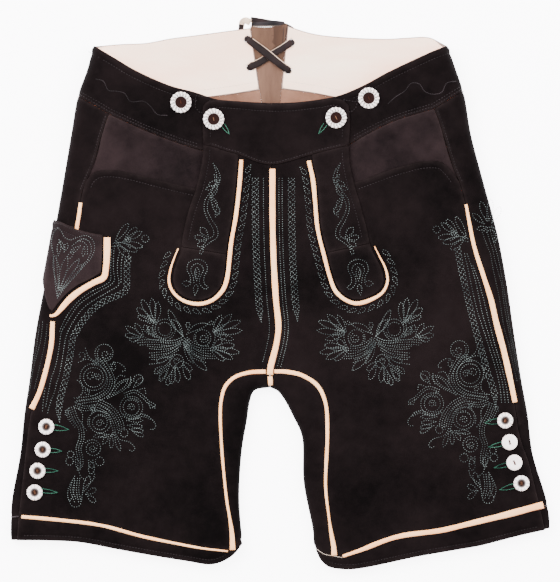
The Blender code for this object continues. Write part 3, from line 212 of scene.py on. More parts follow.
def lace_route():
    """The lace's middle line: in from one free end, twice across the gusset, and out to the other."""
    def climb(name, enter, leave, upward):
        rows, low, high = through(name, enter, leave)
        spread = (1.1, 1.1, 1.15, 1.15, 1.15, 1.25, 1.35)[:: 1 if upward else -1]
        return [(x, y, low + (high - low) * (up if upward else 1 - up), share)
                for (x, y, up), share in zip(rows, spread)]

    over, under, low = 8.2, 5.6, LACE_T / 2
    # each point: x, y, height of the middle line, and the strap's width as a part of LACE_W
    route = [(-31.5, 301.5, 6.6, 1.2), (-36.7, 303.9, 5.6, 1.2), (-40.3, 302.4, 3.0, 1.1),
             (-41.6, 296.9, low + 0.1, 1.0), (-41.8, 290.5, low, 1.0)]
    route += climb("hole_1", 1, 1, True)
    route += [(-22.4, 274.2, over - 0.2, 1.42), (-11.9, 265.9, over, 1.52), (-0.7, 257.1, over - 0.2, 1.36)]
    route += climb("hole_2", 1, -1, False)
    route += [(0.0, 255.3, low, 1.0), (-12.1, 258.2, low, 1.0), (-22.0, 256.4, low, 1.0)]
    route += climb("hole_3", -1, 1, True)
    route += [(-21.1, 258.0, under + 0.3, 1.34), (-8.8, 265.9, under, 1.28),
              (2.9, 272.9, under + 0.3, 1.24)]
    route += climb("hole_4", 1, 1, False)
    route += [(20.0, 285.9, low, 1.0), (17.8, 290.7, low, 1.0), (11.0, 296.2, low, 1.05),
              (1.1, 299.5, low, 1.15), (-11.0, 301.6, low, 1.15), (-22.0, 303.7, low + 0.5, 1.1),
              (-31.2, 305.4, low + 1.2, 1.0)]
    return smooth_run(np.array(route, float), lambda long: round(long / 1.5))


def lace_strap(run):
    """The strap round its middle line: flat, with rounded cut edges, and its width kept level.

    Returns the rings, the faces, and which of them show the pale cut edge or the pale flesh side; where the
    strap dips into a slot all its faces are dark, as painted shade.
    """
    centre, breadth = run[:, :3], LACE_W * run[:, 3:]
    along = np.gradient(centre, axis=0)
    along /= np.linalg.norm(along, axis=1)[:, None]
    wide, last = [], np.array([1.0, 0.0, 0.0])
    for d in along:
        level = np.array([-d[1], d[0], 0.0])
        size = np.linalg.norm(level)
        level = level / max(size, 1e-9)
        level = -level if level @ last < 0 else level
        w = last if size < 0.75 else level
        w = w - d * (w @ d)
        last = w / np.linalg.norm(w)
        wide.append(last)
    wide = np.array(wide)
    up = np.cross(along, wide)
    section = ((-0.505, -0.1), (-0.42, -0.47), (-0.2, -0.56), (0.2, -0.56), (0.44, -0.44), (0.5, -0.15),
               (0.5, 0.22), (0.44, 0.46), (0.2, 0.5), (-0.2, 0.5), (-0.44, 0.46), (-0.5, 0.22))
    rings = np.stack([centre + wide * breadth * a + up * LACE_T * b for a, b in section], axis=1)
    rings[:, :, 2] = np.maximum(rings[:, :, 2], 0.0)
    m, n, dark_parts, curled = len(section), len(centre), (1, 2, 3, 4), 8
    holes = np.array([row[1:3] for row in LACE_HOLES])
    faces, marks = [], []
    for i in range(n - 1):
        at_slot_shade = np.linalg.norm(holes - centre[i, :2], axis=1).min() < 4.2
        for j in range(m):
            a, b = i * m + j, i * m + (j + 1) % m
            faces.append((a, b, b + m, a + m))
            # within reach of a slot the pale edges take the dark face: painted shade where the strap dips
            # through
            marks.append(0 if at_slot_shade or j in dark_parts and i > curled else 1)
    faces += [tuple(range(m))[::-1], tuple((n - 1) * m + j for j in range(m))]
    marks += [1, 1]
    return rings.reshape(-1, 3), faces, marks


lace_face = hide("lace_leather", (17, 12, 12), (35, 25, 25), rough=0.6, sheen=0.05, nap=900.0, cloud=60.0,
                 shine=0.1)
lace_cut = hide("lace_cut_edge", (150, 122, 104), (206, 182, 160), rough=0.8, sheen=0.1, cloud=60.0)
lace_run = lace_route()
rings, faces, marks = lace_strap(lace_run)
lace = put("lace_of_back_waist", rings, faces, (lace_face, lace_cut), marks)
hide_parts("back_lace")
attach(lace, "root")


# ---------------------------------------------------------------- front and back legs
# Each leg is a front and a back of chamois leather, dark nap outside and brown flesh side in,
# sewn at the side, the inside leg and the crotch. The back wraps round both folds on to the front.
LEG_T = 1.8
UNDER = LEG_T + SEAM                 # how far an underlying layer lies below the one over it
EDGE, GRID_TOP, GRID_BACK = 4.5, 5.0, 8.0        # spacing of points along edges and over the leather
FOLD_STEPS = (0.0, 0.03, 0.134, 0.3, 0.5, 0.74, 1.0)   # rows round a side fold, parts of its radius
EDGE_ROWS = (0.3, 0.9, 1.8, 2.8, 4.0, 5.4, 7.0, 8.0, 9.0, 10.6)   # rows of points inside an edge
SECTIONS = (  # name, y, height, fold_right, fold_left
    ("waist_top", 275.6, 24.0, -203.9, 185.2), ("waist_mid", 249.2, 23.0, -210.8, 194.5),
    ("waist_seam", 221.7, 22.0, -220.7, 203.5), ("hip", 178.8, 20.0, -228.4, 211.0),
    ("pocket", 126.0, 18.5, -237.4, 224.8), ("seat", 68.8, 17.5, -247.5, 240.2),
    ("thigh_top", 11.6, 17.0, -258.1, 251.0), ("thigh_mid", -41.2, 16.5, -268.0, 258.7),
    ("crotch", -94.1, 16.0, -274.8, 267.1), ("slit_top", -129.2, 15.0, -280.1, 273.5),
    ("slit_mid", -173.2, 14.0, -284.7, 279.2), ("hem_seam", -226.1, 13.2, -294.1, 294.8),
    ("hem", -267.9, 12.6, -295.4, 300.1),
)
INNER_FOLD = (  # name, x, y
    ("hem_right", (-39.6, -271.8)), ("hem_seam_right", (-41.8, -252.5)), ("low_right", (-43.8, -219.5)),
    ("knee_right", (-40.7, -168.9)), ("thigh_right", (-35.2, -135.9)), ("top_right", (-31.7, -113.9)),
    ("corner_right", (-27.3, -103.5)), ("crotch_right", (-18.7, -100.9)), ("crotch_left", (-9.9, -100.7)),
    ("corner_left", (-2.2, -103.3)), ("top_left", (5.5, -112.8)), ("thigh_left", (15.4, -131.5)),
    ("knee_left", (25.1, -153.5)), ("low_left", (27.1, -204.1)), ("hem_seam_left", (37.2, -256.9)),
    ("hem_bend_left", (38.7, -273.4)), ("hem_left", (45.8, -291.0)),
)
CREASES = (  # name, x0, y0, x1, y1, width, depth
    ("right_thigh_pull", -23.1, -36.9, -91.3, -111.7, 24, -2.6),
    ("right_thigh_ridge", -58.3, -23.7, -130.9, -113.9, 26, 1.8),
    ("left_thigh_pull", 18.7, -41.2, 80.3, -116.1, 24, -2.2),
    ("left_thigh_ridge", 56.1, -28.1, 135.3, -109.5, 26, 1.5),
    ("right_hip_fold", -225.5, 123.8, -228.8, 99.6, 13, 0.9),
    ("right_knee_wave", -174.9, -229.4, -161.7, -135.9, 22, -1.5),
    ("right_hem_wave", -97.9, -267.9, -102.3, -179.9, 20, 1.4),
    ("left_knee_wave", 155.1, -245.9, 141.9, -146.9, 22, -1.4),
    ("left_hem_wave", 94.6, -273.4, 97.9, -190.9, 20, 1.4),
    ("right_hip_dip", -163.9, 62.2, -172.7, -25.9, 26, -1.2),
    ("left_hip_dip", 160.6, 51.2, 168.3, -36.9, 26, -1.2), ("flap_sag", -7.7, 196.4, -7.7, 132.6, 60, -3.0),
    ("seat_dip", -26.4, 73.2, 12.1, -3.9, 40, -1.2),
    ("right_side_wave", -218.9, -69.9, -227.7, -157.9, 20, 1.0),
    ("left_side_wave", 216.7, -47.9, 221.1, -157.9, 20, 1.0),
)
FINE_FOLDS = (  # name, x0, y0, x1, y1, width, depth
    ("hip_fold_out", -238.0, 118.0, -232.0, 78.0, 5.0, 1.1),
    ("hip_trough", -231.0, 122.0, -224.0, 72.0, 4.0, -1.1),
    ("hip_fold_in", -222.5, 126.0, -216.5, 84.0, 5.0, 0.9),
    ("right_groin", -16.0, -40.0, -84.0, -116.0, 8.0, -1.3),
    ("right_groin_lip", -34.0, -34.0, -98.0, -102.0, 9.0, 0.9),
    ("left_groin", 12.0, -44.0, 72.0, -112.0, 8.0, -1.1),
    ("left_groin_lip", 34.0, -38.0, 88.0, -98.0, 9.0, 0.8),
    ("right_flap_pull", -96.0, 44.0, -118.0, 0.0, 7.0, -0.7),
    ("left_flap_pull", 92.0, 44.0, 112.0, 2.0, 7.0, -0.7),
    ("right_leg_fold_1", -96.0, -150.0, -84.0, -226.0, 11.0, 0.8),
    ("right_leg_fold_2", -128.0, -146.0, -120.0, -236.0, 11.0, -0.8),
    ("right_leg_fold_3", -214.0, -128.0, -206.0, -214.0, 10.0, 0.7),
    ("left_leg_fold_1", 96.0, -148.0, 88.0, -228.0, 11.0, 0.8),
    ("left_leg_fold_2", 126.0, -150.0, 122.0, -238.0, 11.0, -0.8),
    ("left_leg_fold_3", 208.0, -132.0, 204.0, -216.0, 10.0, 0.7),
    ("left_hip_fold", 214.0, 150.0, 222.0, 96.0, 7.0, 0.8),
    ("right_pocket_pull", -182.0, 92.0, -120.0, 84.0, 9.0, -0.6),
    ("left_pocket_pull", 180.0, 104.0, 124.0, 92.0, 9.0, -0.6),
    ("right_yoke_wave", -176.0, 166.0, -120.0, 146.0, 10.0, -0.5),
    ("left_yoke_wave", 170.0, 176.0, 120.0, 156.0, 10.0, -0.5),
    ("crotch_dip", -10.0, 20.0, -6.0, -60.0, 12.0, -0.7),
)
BACK_HOLLOWS = (  # shallow hollows on the side that lies on the floor: name, x0, y0, x1, y1, width, depth
    ("back_seat_right", -110.0, 120.0, -90.0, 10.0, 22.0, 0.9),
    ("back_seat_left", 100.0, 130.0, 84.0, 6.0, 22.0, 0.8),
    ("back_thigh_right", -60.0, -60.0, -150.0, -140.0, 15.0, 0.9),
    ("back_thigh_left", 50.0, -60.0, 138.0, -146.0, 15.0, 0.8),
    ("back_leg_right", -190.0, -120.0, -176.0, -220.0, 16.0, 0.7),
    ("back_leg_left", 186.0, -110.0, 180.0, -214.0, 16.0, 0.7),
    ("back_hip_right", -205.0, 60.0, -212.0, -40.0, 12.0, 0.6),
    ("back_hip_left", 196.0, 70.0, 206.0, -30.0, 12.0, 0.6),
)


def spline(points, step=1.5):
    """A smooth line in the plane through points or rows that end in one, as dense points."""
    p = np.array([q[-1] if isinstance(q[-1], tuple) else q[-2:] for q in points], float)
    if len(p) == 2:
        n = max(2, int(np.linalg.norm(p[1] - p[0]) / step))
        return p[0] + (p[1] - p[0]) * np.linspace(0, 1, n)[:, None]
    return smooth_run(p, lambda long: math.ceil(long / step))


def lengths(line):
    """How far along a line each of its points lies."""
    return np.concatenate([[0], np.cumsum(np.linalg.norm(np.diff(line, axis=0), axis=1))])


def at(line, s):
    """The points this far along a line."""
    along = lengths(line)
    return np.stack([np.interp(s, along, line[:, k]) for k in (0, 1)], axis=-1)


HEIGHT_LINE = spline([(row[1], row[2] * 10) for row in SECTIONS])


def height(y):
    """How high the trousers lie at this distance up the leg."""
    return np.interp(-np.asarray(y), -HEIGHT_LINE[:, 0], HEIGHT_LINE[:, 1] / 10)


FOLDS = {
    "right": spline([(row[3], row[1]) for row in SECTIONS], 2.0),
    "left": spline([(row[4], row[1]) for row in SECTIONS], 2.0), "inner": spline(INNER_FOLD, 1.5),
}


def fold_parts():
    """Every fold as short segments with the outward direction of each, run on past its ends."""
    a, b = [], []
    for name, line in FOLDS.items():
        ends = np.array([line[0] + (line[0] - line[4]) * 12, *line, line[-1] + (line[-1] - line[-5]) * 12])
        if name != "left":
            ends = ends[::-1]
        a.append(ends[:-1])
        b.append(ends[1:])
    a, b = np.vstack(a), np.vstack(b)
    d = (b - a) / np.linalg.norm(b - a, axis=1)[:, None]
    # each line is taken so that the garment lies on its right
    out = np.stack([-d[:, 1], d[:, 0]], axis=1)
    return a, b, out


SEG_A, SEG_B, SEG_OUT = fold_parts()


def to_fold(p):
    """Distance from each point to the nearest fold, and the level direction out to it."""
    p = np.atleast_2d(p)
    dist, out = np.empty(len(p)), np.empty((len(p), 2))
    ab = SEG_B - SEG_A
    ll = (ab**2).sum(1)
    for k in range(0, len(p), 400):
        q = p[k : k + 400, None, :]
        t = np.clip(((q - SEG_A) * ab).sum(2) / ll, 0, 1)
        near = SEG_A + t[..., None] * ab
        d = np.linalg.norm(q - near, axis=2)
        i = d.argmin(1)
        row = np.arange(len(i))
        dist[k : k + 400] = d[row, i]
        away = near[row, i] - p[k : k + 400]
        size = np.linalg.norm(away, axis=1)
        close = size < 0.4
        out[k : k + 400] = np.where(close[:, None], SEG_OUT[i], away / np.maximum(size, 1e-9)[:, None])
    return dist, out


def ease(t):
    """0 to 1 with a soft start and end."""
    t = np.clip(t, 0, 1)
    return t * t * (3 - 2 * t)


def soft_folds(p, table):
    """The height that a table of soft troughs and ridges adds at each point."""
    total = np.zeros(len(p))
    for _, x0, y0, x1, y1, width, depth in table:
        a, b = np.array([x0, y0]), np.array([x1, y1])
        t = ((p - a) @ (b - a)) / ((b - a) @ (b - a))
        d = np.linalg.norm(p - a - np.clip(t, 0, 1)[:, None] * (b - a), axis=1)
        total += depth * np.exp(-((d / width) ** 2))
    return total


def slack(p):
    """The uneven lie of soft leather, a quarter of a millimetre up and down."""
    x, y = p[:, 0], p[:, 1]
    return (0.22 * np.sin(x / 11.3 + 1.7 * np.sin(y / 23.1)) * np.sin(y / 14.9 + 0.9 * np.sin(x / 31.7))
            + 0.13 * np.sin(x / 5.9 - y / 8.3) * np.sin(y / 6.7 + 1.1))


LIFT = dict(x=-11.0, y=275.6, half_x=37.0, half_y=39.0)


def lift(p):
    """The back waist's height over the lace that runs under it."""
    rho = np.sqrt(np.sqrt(((p[:, 0] - LIFT["x"]) / LIFT["half_x"]) ** 4
                          + ((p[:, 1] - LIFT["y"]) / LIFT["half_y"]) ** 4))
    return LACE_LIFT * (1 - ease((rho - 1.05) / 0.7))


def form(p, side):
    """The outer face of the lying garment over each point, its direction there, and how far the point
    is from a fold, with that fold's radius."""
    p = np.asarray(p, float).reshape(-1, 2)
    d, out = to_fold(p)
    r = height(p[:, 1]) / 2
    lean = np.clip(1 - d / r, 0, 1)
    rise = np.sqrt(np.maximum(0, 1 - lean**2))
    up = 1 if side == "top" else -1

    def fine(q, dist):
        return (soft_folds(q, FINE_FOLDS) + slack(q)) * ease((dist - 0.6 * r) / r) if side == "top" else 0

    def level(q, dist):
        into = ease((dist - r) / (2 * r))
        if side == "top":
            return height(q[:, 1]) + soft_folds(q, CREASES) * into + fine(q, dist)
        return lift(q) * into + soft_folds(q, BACK_HOLLOWS) * into

    z = np.where(lean > 0, r + up * r * rise + fine(p, d), level(p, d))
    e = 0.5
    dx = (level(p + [e, 0], d - e * out[:, 0]) - level(p - [e, 0], d + e * out[:, 0])) / (2 * e)
    dy = (level(p + [0, e], d - e * out[:, 1]) - level(p - [0, e], d + e * out[:, 1])) / (2 * e)
    n = np.stack([-dx, -dy, np.ones(len(p))], axis=1) * up
    arc = np.stack([out[:, 0] * lean, out[:, 1] * lean, up * rise], axis=1)
    n = np.where((lean > 0)[:, None], arc, n)
    n /= np.linalg.norm(n, axis=1)[:, None]
    return np.column_stack([p, z]), n, d, r


def stops(line, step=EDGE):
    """Points along a dense line about step apart, with a row at each step round a fold."""
    along = lengths(line)
    total = along[-1]
    d, _ = to_fold(line)
    ratio = d / (height(line[:, 1]) / 2)
    marks = [0.0, total]
    for f in FOLD_STEPS[1:]:
        for i in np.nonzero((ratio[:-1] - f) * (ratio[1:] - f) < 0)[0]:
            t = (f - ratio[i]) / (ratio[i + 1] - ratio[i])
            marks.append(along[i] + t * (along[i + 1] - along[i]))
    marks = sorted(marks)
    kept = [marks[0]]
    for m in marks[1:-1]:
        if m - kept[-1] > 0.7 and total - m > 0.7:
            kept.append(m)
    kept.append(total)
    s = []
    for a, b in zip(kept[:-1], kept[1:]):
        s += list(np.linspace(a, b, max(1, round((b - a) / step)) + 1)[:-1])
    return at(line, np.array(s + [total]))


def edge(*points):
    """A seam or cut edge through these points."""
    return stops(spline(points)), False


def back(line):
    """The same seam, edge or fold run the other way."""
    return line[0][::-1], line[1]


def fold_run(name, start, stop):
    """A stretch of a fold between two places, half a seam short of each end.

    start and stop are points near the fold.
    """
    line = FOLDS[name]
    along = lengths(line)
    s = [along[np.linalg.norm(line - np.array(q), axis=1).argmin()] for q in (start, stop)]
    sign = 1 if s[1] > s[0] else -1
    a, b = s[0] + sign * SEAM / 2, s[1] - sign * SEAM / 2
    n = max(1, round(abs(b - a) / EDGE))
    return at(line, np.linspace(a, b, n + 1)), True


def outline(*parts, inset=SEAM / 2):
    """A closed outline from seams, edges and folds in order, drawn in by half a seam."""
    pts, fold = [], []
    for k, (line, is_fold) in enumerate(parts):
        after = parts[(k + 1) % len(parts)][1]
        line = line if is_fold else line[1:-1] if after else line[1:]
        pts += list(line)
        fold += [is_fold] * len(line)
    p, fold = np.array(pts), np.array(fold)
    x, y = p[:, 0], p[:, 1]
    if (x * np.roll(y, -1) - np.roll(x, -1) * y).sum() < 0:
        p, fold = p[::-1], fold[::-1]
    ahead = np.roll(p, -1, axis=0) - p
    ahead /= np.maximum(np.linalg.norm(ahead, axis=1), 1e-9)[:, None]
    n1 = np.stack([-ahead[:, 1], ahead[:, 0]], axis=1)
    n0 = np.roll(n1, 1, axis=0)
    mitre = (n0 + n1) / np.maximum(0.35, 1 + (n0 * n1).sum(1))[:, None]
    return np.where(fold[:, None], p, p + mitre * inset), fold


def inside(points, loop):
    """Which points lie in a closed loop."""
    a, b = loop, np.roll(loop, -1, axis=0)
    x, y = points[:, 0][:, None], points[:, 1][:, None]
    cross = (a[:, 1] > y) != (b[:, 1] > y)
    tall = np.where(b[:, 1] == a[:, 1], 1e-12, b[:, 1] - a[:, 1])
    at_x = a[:, 0] + (y - a[:, 1]) / tall * (b[:, 0] - a[:, 0])
    return (cross & (x < at_x)).sum(1) % 2 == 1


def triangulate(loop, fold, grid, holes=()):
    """Triangles over a cut: rows round its folds, rows along its edges, and a grid between."""
    rows = []
    if fold.any():
        f = loop[fold]
        _, out = to_fold(f)
        r = height(f[:, 1]) / 2
        for step in FOLD_STEPS[1:]:
            rows.append(f - out * (r * step)[:, None])
        rows = np.vstack(rows)
        rows = rows[inside(rows, loop)]
        rows = rows[to_line(rows, loop, ~fold) > 1.0]
    else:
        rows = np.empty((0, 2))
    ahead = np.roll(loop, -1, axis=0) - loop
    ahead /= np.maximum(np.linalg.norm(ahead, axis=1), 1e-9)[:, None]
    turned = np.stack([-ahead[:, 1], ahead[:, 0]], axis=1)
    inward = turned + np.roll(turned, 1, axis=0)
    inward /= np.maximum(np.linalg.norm(inward, axis=1), 0.5)[:, None]
    near = []
    for step in EDGE_ROWS:
        q = (loop + inward * step)[~fold]
        q = q[inside(q, loop)]
        if len(q):
            near.append(q[to_line(q, loop) > 0.93 * step])
    near = np.vstack(near) if near else np.empty((0, 2))
    if len(rows) and len(near):
        d, _ = to_fold(near)
        near_fold = d < height(near[:, 1]) / 2
        close = np.array([np.linalg.norm(rows - q, axis=1).min() < 0.9 for q in near[near_fold]], bool)
        drop = np.zeros(len(near), bool)
        drop[np.nonzero(near_fold)[0][close]] = True
        near = near[~drop]
    lo, hi = loop.min(0), loop.max(0)
    xs = np.arange(math.floor(lo[0] / grid), math.ceil(hi[0] / grid) + 1) * grid
    ys = np.arange(math.floor(lo[1] / grid), math.ceil(hi[1] / grid) + 1) * grid
    mesh = np.stack(np.meshgrid(xs, ys), axis=-1).reshape(-1, 2)
    mesh = mesh[inside(mesh, loop)]
    if len(mesh):
        mesh = mesh[to_line(mesh, loop) > EDGE_ROWS[-1] + 1.2]
    if len(mesh):
        d, _ = to_fold(mesh)
        mesh = mesh[d > height(mesh[:, 1]) / 2 + 0.4 * grid]
    pts, loops, n = [loop], [(0, len(loop))], len(loop)
    for hole in holes:
        mesh = mesh[to_line(mesh, hole) > 1.5] if len(mesh) else mesh
        near = near[to_line(near, hole) > 1.0]
        near = near[~inside(near, hole)]
        pts.append(hole)
        loops.append((n, len(hole)))
        n += len(hole)
    p = np.vstack(pts + [rows, near, mesh])
    edges = [(s + i, s + (i + 1) % m) for s, m in loops for i in range(m)]
    v, _, faces, orig, _, _ = delaunay_2d_cdt([Vector(q) for q in p], edges, [], 0, 1e-5)
    v = np.array([tuple(q) for q in v])
    tri = np.array(faces)
    mid = v[tri].mean(1)
    keep = inside(mid, loop)
    for hole in holes:
        keep &= ~inside(mid, hole)
    tri = tri[keep]
    a, b, c = v[tri[:, 0]], v[tri[:, 1]], v[tri[:, 2]]
    area = (b[:, 0] - a[:, 0]) * (c[:, 1] - a[:, 1]) - (b[:, 1] - a[:, 1]) * (c[:, 0] - a[:, 0])
    tri[area < 0] = tri[area < 0][:, ::-1]
    tri = tri[np.abs(area) > 1e-7]
    on_fold = np.array([any(i < len(loop) and fold[i] for i in o) for o in orig])
    return v, tri, on_fold


def to_line(points, line, keep=None, closed=True):
    """Distance from each point to a line, or to the marked stretches of a closed one."""
    a, b = line[:-1], line[1:]
    if closed:
        a, b = line, np.roll(line, -1, axis=0)
    if keep is not None:
        both = keep | np.roll(keep, -1)
        a, b = a[both], b[both]
    out = np.empty(len(points))
    ab = b - a
    for k in range(0, len(points), 2000):
        q = points[k : k + 2000, None, :]
        t = np.clip(((q - a) * ab).sum(2) / np.maximum((ab**2).sum(1), 1e-12), 0, 1)
        out[k : k + 2000] = np.linalg.norm(q - a - t[..., None] * ab, axis=2).min(1)
    return out


ROLLED = {}      # piece: [(edge line, width, height)], where leather is turned over and sewn down
SEWN = {}        # piece: [(seam line, distance)], rows of stitching that draw the leather in


def relief(name, p, loop, fold):
    """Height of the outer skin over the plain form: rounded edges, rolled edges, sewn rows."""
    gap = to_line(p, loop, ~fold)
    z = -0.75 * (1 - np.sqrt(np.clip(1 - (1 - np.clip(gap / 1.7, 0, 1)) ** 2, 0, 1)))
    for line, width, high in ROLLED.get(name, ()):
        d = to_line(p, line, closed=False) / width
        z += np.where(d < 1, high * np.sin(np.pi * np.clip(d, 0, 1)) ** 0.7, 0)
        z -= 0.55 * np.exp(-(((d - 1.0) * width) ** 2))
    for line, away in SEWN.get(name, ()):
        z -= 0.4 * np.exp(-(((to_line(p, line, closed=False) - away) / 1.1) ** 2))
    return z, np.exp(-gap / 2.4)


def panel(name, sheets, thick, finish, outer=0.0, grid=None):
    """One cut of leather as a closed shell over its sheets, which are joined along their folds.

    finish is (outside, inside).
    """
    P, N, Z, worn, tris, key = [], [], [], [], [], {}
    for side, (loop, fold), level, *holes in sheets:
        v, tri, on_fold = triangulate(loop, fold, (grid or GRID_TOP) if side == "top" else GRID_BACK, holes)
        base, n, d, r = form(v, side)
        off = np.full(len(v), outer) if level is None else outer + level(v, d, r)
        z, rubbed = relief(name, v, loop, fold)
        index = []
        for i in range(len(v)):
            k = (round(v[i, 0], 3), round(v[i, 1], 3)) if on_fold[i] else None
            if k is not None and k in key:
                index.append(key[k])
                continue
            index.append(len(P))
            if k is not None:
                key[k] = len(P)
            P.append(base[i] + n[i] * off[i])
            N.append(n[i])
            Z.append(z[i])
            worn.append(rubbed[i])
        tri = np.array(index)[tri]
        tris.append(tri if side == "top" else tri[:, ::-1])
    P, N, Z, tris = np.array(P), np.array(N), np.array(Z), np.vstack(tris)
    k = len(P)
    points = np.vstack([P + N * Z[:, None], P - N * thick])
    count = {}
    for t in tris:
        for a, b in ((t[0], t[1]), (t[1], t[2]), (t[2], t[0])):
            count[(a, b)] = 1
    rim = [(b, a, a + k, b + k) for a, b in count if (b, a) not in count]
    faces = [tuple(t) for t in tris] + [tuple(x + k for x in t[::-1]) for t in tris] + rim
    marks = [0] * len(tris) + [1] * len(tris) + [0] * len(rim)
    piece = put(name + "_leather", points, faces, finish, marks)
    rub = piece.data.attributes.new("worn", "FLOAT", "POINT")
    rub.data.foreach_set("value", np.array(worn + worn, np.float32))
    return piece


def dress(piece, solid):
    """The piece stands for its solid, which it hides, and rides with the body.
    """
    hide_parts(solid)
    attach(piece, "root")


SIDES = ("right", "left")
MARKS = {  # name: the wearer's right, the wearer's left
    "waist_fold": ((-203.5, 275.6), (184.8, 276.7)), "seam_fold": ((-220.4, 220.6), (201.9, 226.1)),
    "side_top": ((-186.5, 200.2), (170.0, 205.9)), "side_pocket": ((-215.1, 117.2), (198.0, 126.0)),
    "slit_top": ((-272.8, -127.1), (259.6, -121.6)), "hem_slit": ((-286.2, -241.5), (286.4, -229.8)),
    "hem_fold": ((-294.1, -241.5), (295.7, -229.6)), "hem_inseam": ((-52.4, -278.9), (60.7, -285.2)),
    "hem_inner": ((-41.8, -266.3), (39.6, -276.0)), "foot_fold": ((-295.4, -267.9), (299.2, -254.7)),
    "foot_slit": ((-288.2, -268.0), (292.2, -256.6)), "foot_inner": ((-39.7, -271.4), (45.5, -290.4)),
    "crotch_top": ((-9.9, -82.5), (-9.9, -82.5)), "crotch_fold": ((-9.9, -100.7), (-9.9, -100.7)),
    "band_centre": ((-8.8, 159.5), (-8.8, 159.5)), "waist_centre": ((-8.8, 212.3), (-8.8, 212.3)),
    "fork_top": ((-8.2, 158.1), (-8.2, 158.1)),
}


def mark(name, side):
    """The place of a mark, drawn onto its fold if it is on one."""
    x, y = MARKS[name][SIDES.index(side)]
    line = FOLDS["inner"] if name.endswith("_inner") or name == "crotch_fold" else FOLDS[side]
    if name.endswith(("_fold", "_inner")):
        x, y = line[np.linalg.norm(line - (x, y), axis=1).argmin()]
    return x, y


CUTS = {  # seam or edge: the points between its two marks, on the wearer's right and left
    "front_top": ("waist_fold", "waist_centre",
        ((-180.4, 261.8), (-157.3, 248.1), (-119.9, 231.6), (-91.3, 223.9), (-69.3, 216.7), (-40.7, 214.0)),
        ((168.3, 269.0), (144.1, 258.0), (118.8, 245.9), (91.3, 231.0), (66.0, 220.6), (47.3, 216.7),
            (20.9, 213.4))),
    "front_seam_outer": ("seam_fold", "side_top", ((-203.5, 210.1),), ((185.9, 215.6),)),
    "front_seam": ("side_top", "band_centre",
        ((-149.6, 183.2), (-119.9, 171.6), (-91.3, 162.2), (-80.3, 160.1), (-42.9, 159.5)),
        ((149.6, 199.9), (126.5, 192.5), (102.3, 181.0), (80.3, 168.9), (67.1, 161.7), (28.6, 159.5))),
    "side_upper": ("side_top", "side_pocket",
        ((-190.3, 189.8), (-195.8, 172.2), (-203.0, 145.8), (-210.1, 129.2)),
        ((176.0, 190.9), (181.5, 173.2), (189.8, 145.8), (194.7, 132.6))),
    "side_lower": ("side_pocket", "slit_top",
        ((-217.4, 105.1), (-220.6, 82.0), (-228.8, 44.6), (-239.8, 7.2), (-247.5, -28.1), (-249.7, -52.3),
            (-255.2, -78.7), (-262.9, -105.1)),
        ((204.6, 102.9), (214.0, 55.6), (225.0, 20.4), (232.1, -1.7), (238.7, -30.3), (246.4, -58.9),
            (253.0, -87.5), (258.0, -109.5))),
    "slit": ("slit_top", "hem_slit", ((-276.9, -157.9), (-280.5, -190.9)),
        ((264.0, -151.2), (275.0, -184.3))),
    "slit_hem": ("hem_slit", "foot_slit", (), ()),
    "hem_front": ("hem_slit", "hem_inseam",
        ((-247.5, -244.8), (-196.9, -251.1), (-149.6, -263.5), (-110.0, -271.7), (-80.3, -277.0)),
        ((246.4, -240.4), (210.1, -249.2), (178.2, -256.9), (134.2, -262.9), (115.5, -268.3),
            (90.8, -277.9), (78.7, -282.2))),
    "hem_wrap": ("hem_inseam", "hem_inner", ((-48.2, -273.6),), ((49.5, -282.8),)),
    "hem_back": ("hem_fold", "hem_inner",
        ((-262.9, -240.4), (-218.9, -243.7), (-174.9, -252.5), (-130.9, -260.2), (-81.4, -269.5),
            (-58.3, -268.4)),
        ((265.1, -236.0), (221.1, -245.9), (177.1, -253.6), (133.1, -262.4), (95.7, -274.9), (67.1, -281.5),
            (51.7, -278.4))),
    "foot_front": ("foot_slit", "foot_inner",
        ((-251.9, -268.4), (-218.9, -270.3), (-174.9, -278.5), (-134.2, -285.7), (-100.1, -291.2),
            (-74.8, -294.7), (-61.6, -291.2), (-50.6, -284.4)),
        ((265.1, -262.8), (240.9, -269.0), (218.9, -274.5), (184.8, -280.3), (146.3, -287.2),
            (122.1, -292.5), (97.9, -297.6), (79.2, -300.1), (63.8, -299.3), (52.8, -296.5))),
    "foot_back": ("foot_fold", "foot_inner",
        ((-273.9, -267.0), (-218.9, -269.2), (-174.9, -277.4), (-134.2, -284.6), (-100.1, -290.1),
            (-74.8, -293.6), (-61.6, -290.1), (-50.6, -283.2)),
        ((265.1, -261.2), (240.9, -267.9), (218.9, -273.4), (184.8, -279.2), (146.3, -286.1),
            (122.1, -291.4), (97.9, -296.5), (79.2, -298.9), (63.8, -298.2), (52.8, -295.4))),
    "inseam": ("hem_inseam", "crotch_top",
        ((-57.8, -223.9), (-62.7, -168.9), (-64.4, -130.4), (-63.5, -115.0), (-58.9, -99.0), (-48.4, -88.6),
            (-31.9, -83.4)),
        ((55.0, -248.1), (51.2, -208.5), (53.1, -146.9), (50.8, -116.1), (42.4, -98.2), (26.4, -87.0),
            (9.9, -82.8))),
    "crotch_wrap": ("crotch_top", "crotch_fold", (), ()),
    "centre_front": ("crotch_top", "fork_top",
        *[((-6.1, -65.5), (-2.2, -49.0), (-0.6, -32.5), (-3.3, -3.9), (-6.1, 45.7), (-7.2, 95.2))] * 2),
}
C = {side: {} for side in SIDES}
for cut, (start, stop, *between) in CUTS.items():
    for k, side in enumerate(SIDES):
        C[side][cut] = edge(mark(start, side), *between[k], mark(stop, side))
GUSSET = {  # corner: wearer's right, wearer's left
    "top": ((-31.5, 298.7), (9.6, 301.1)), "seam": ((-21.3, 227.7), (2.6, 228.8)),
    "foot": ((-18.7, 211.2), (1.1, 211.2)),
}
LIP_DOWN, LIP_IN = 2.9, 0.04     # the band's own corner: this far below the gusset's, and in towards it


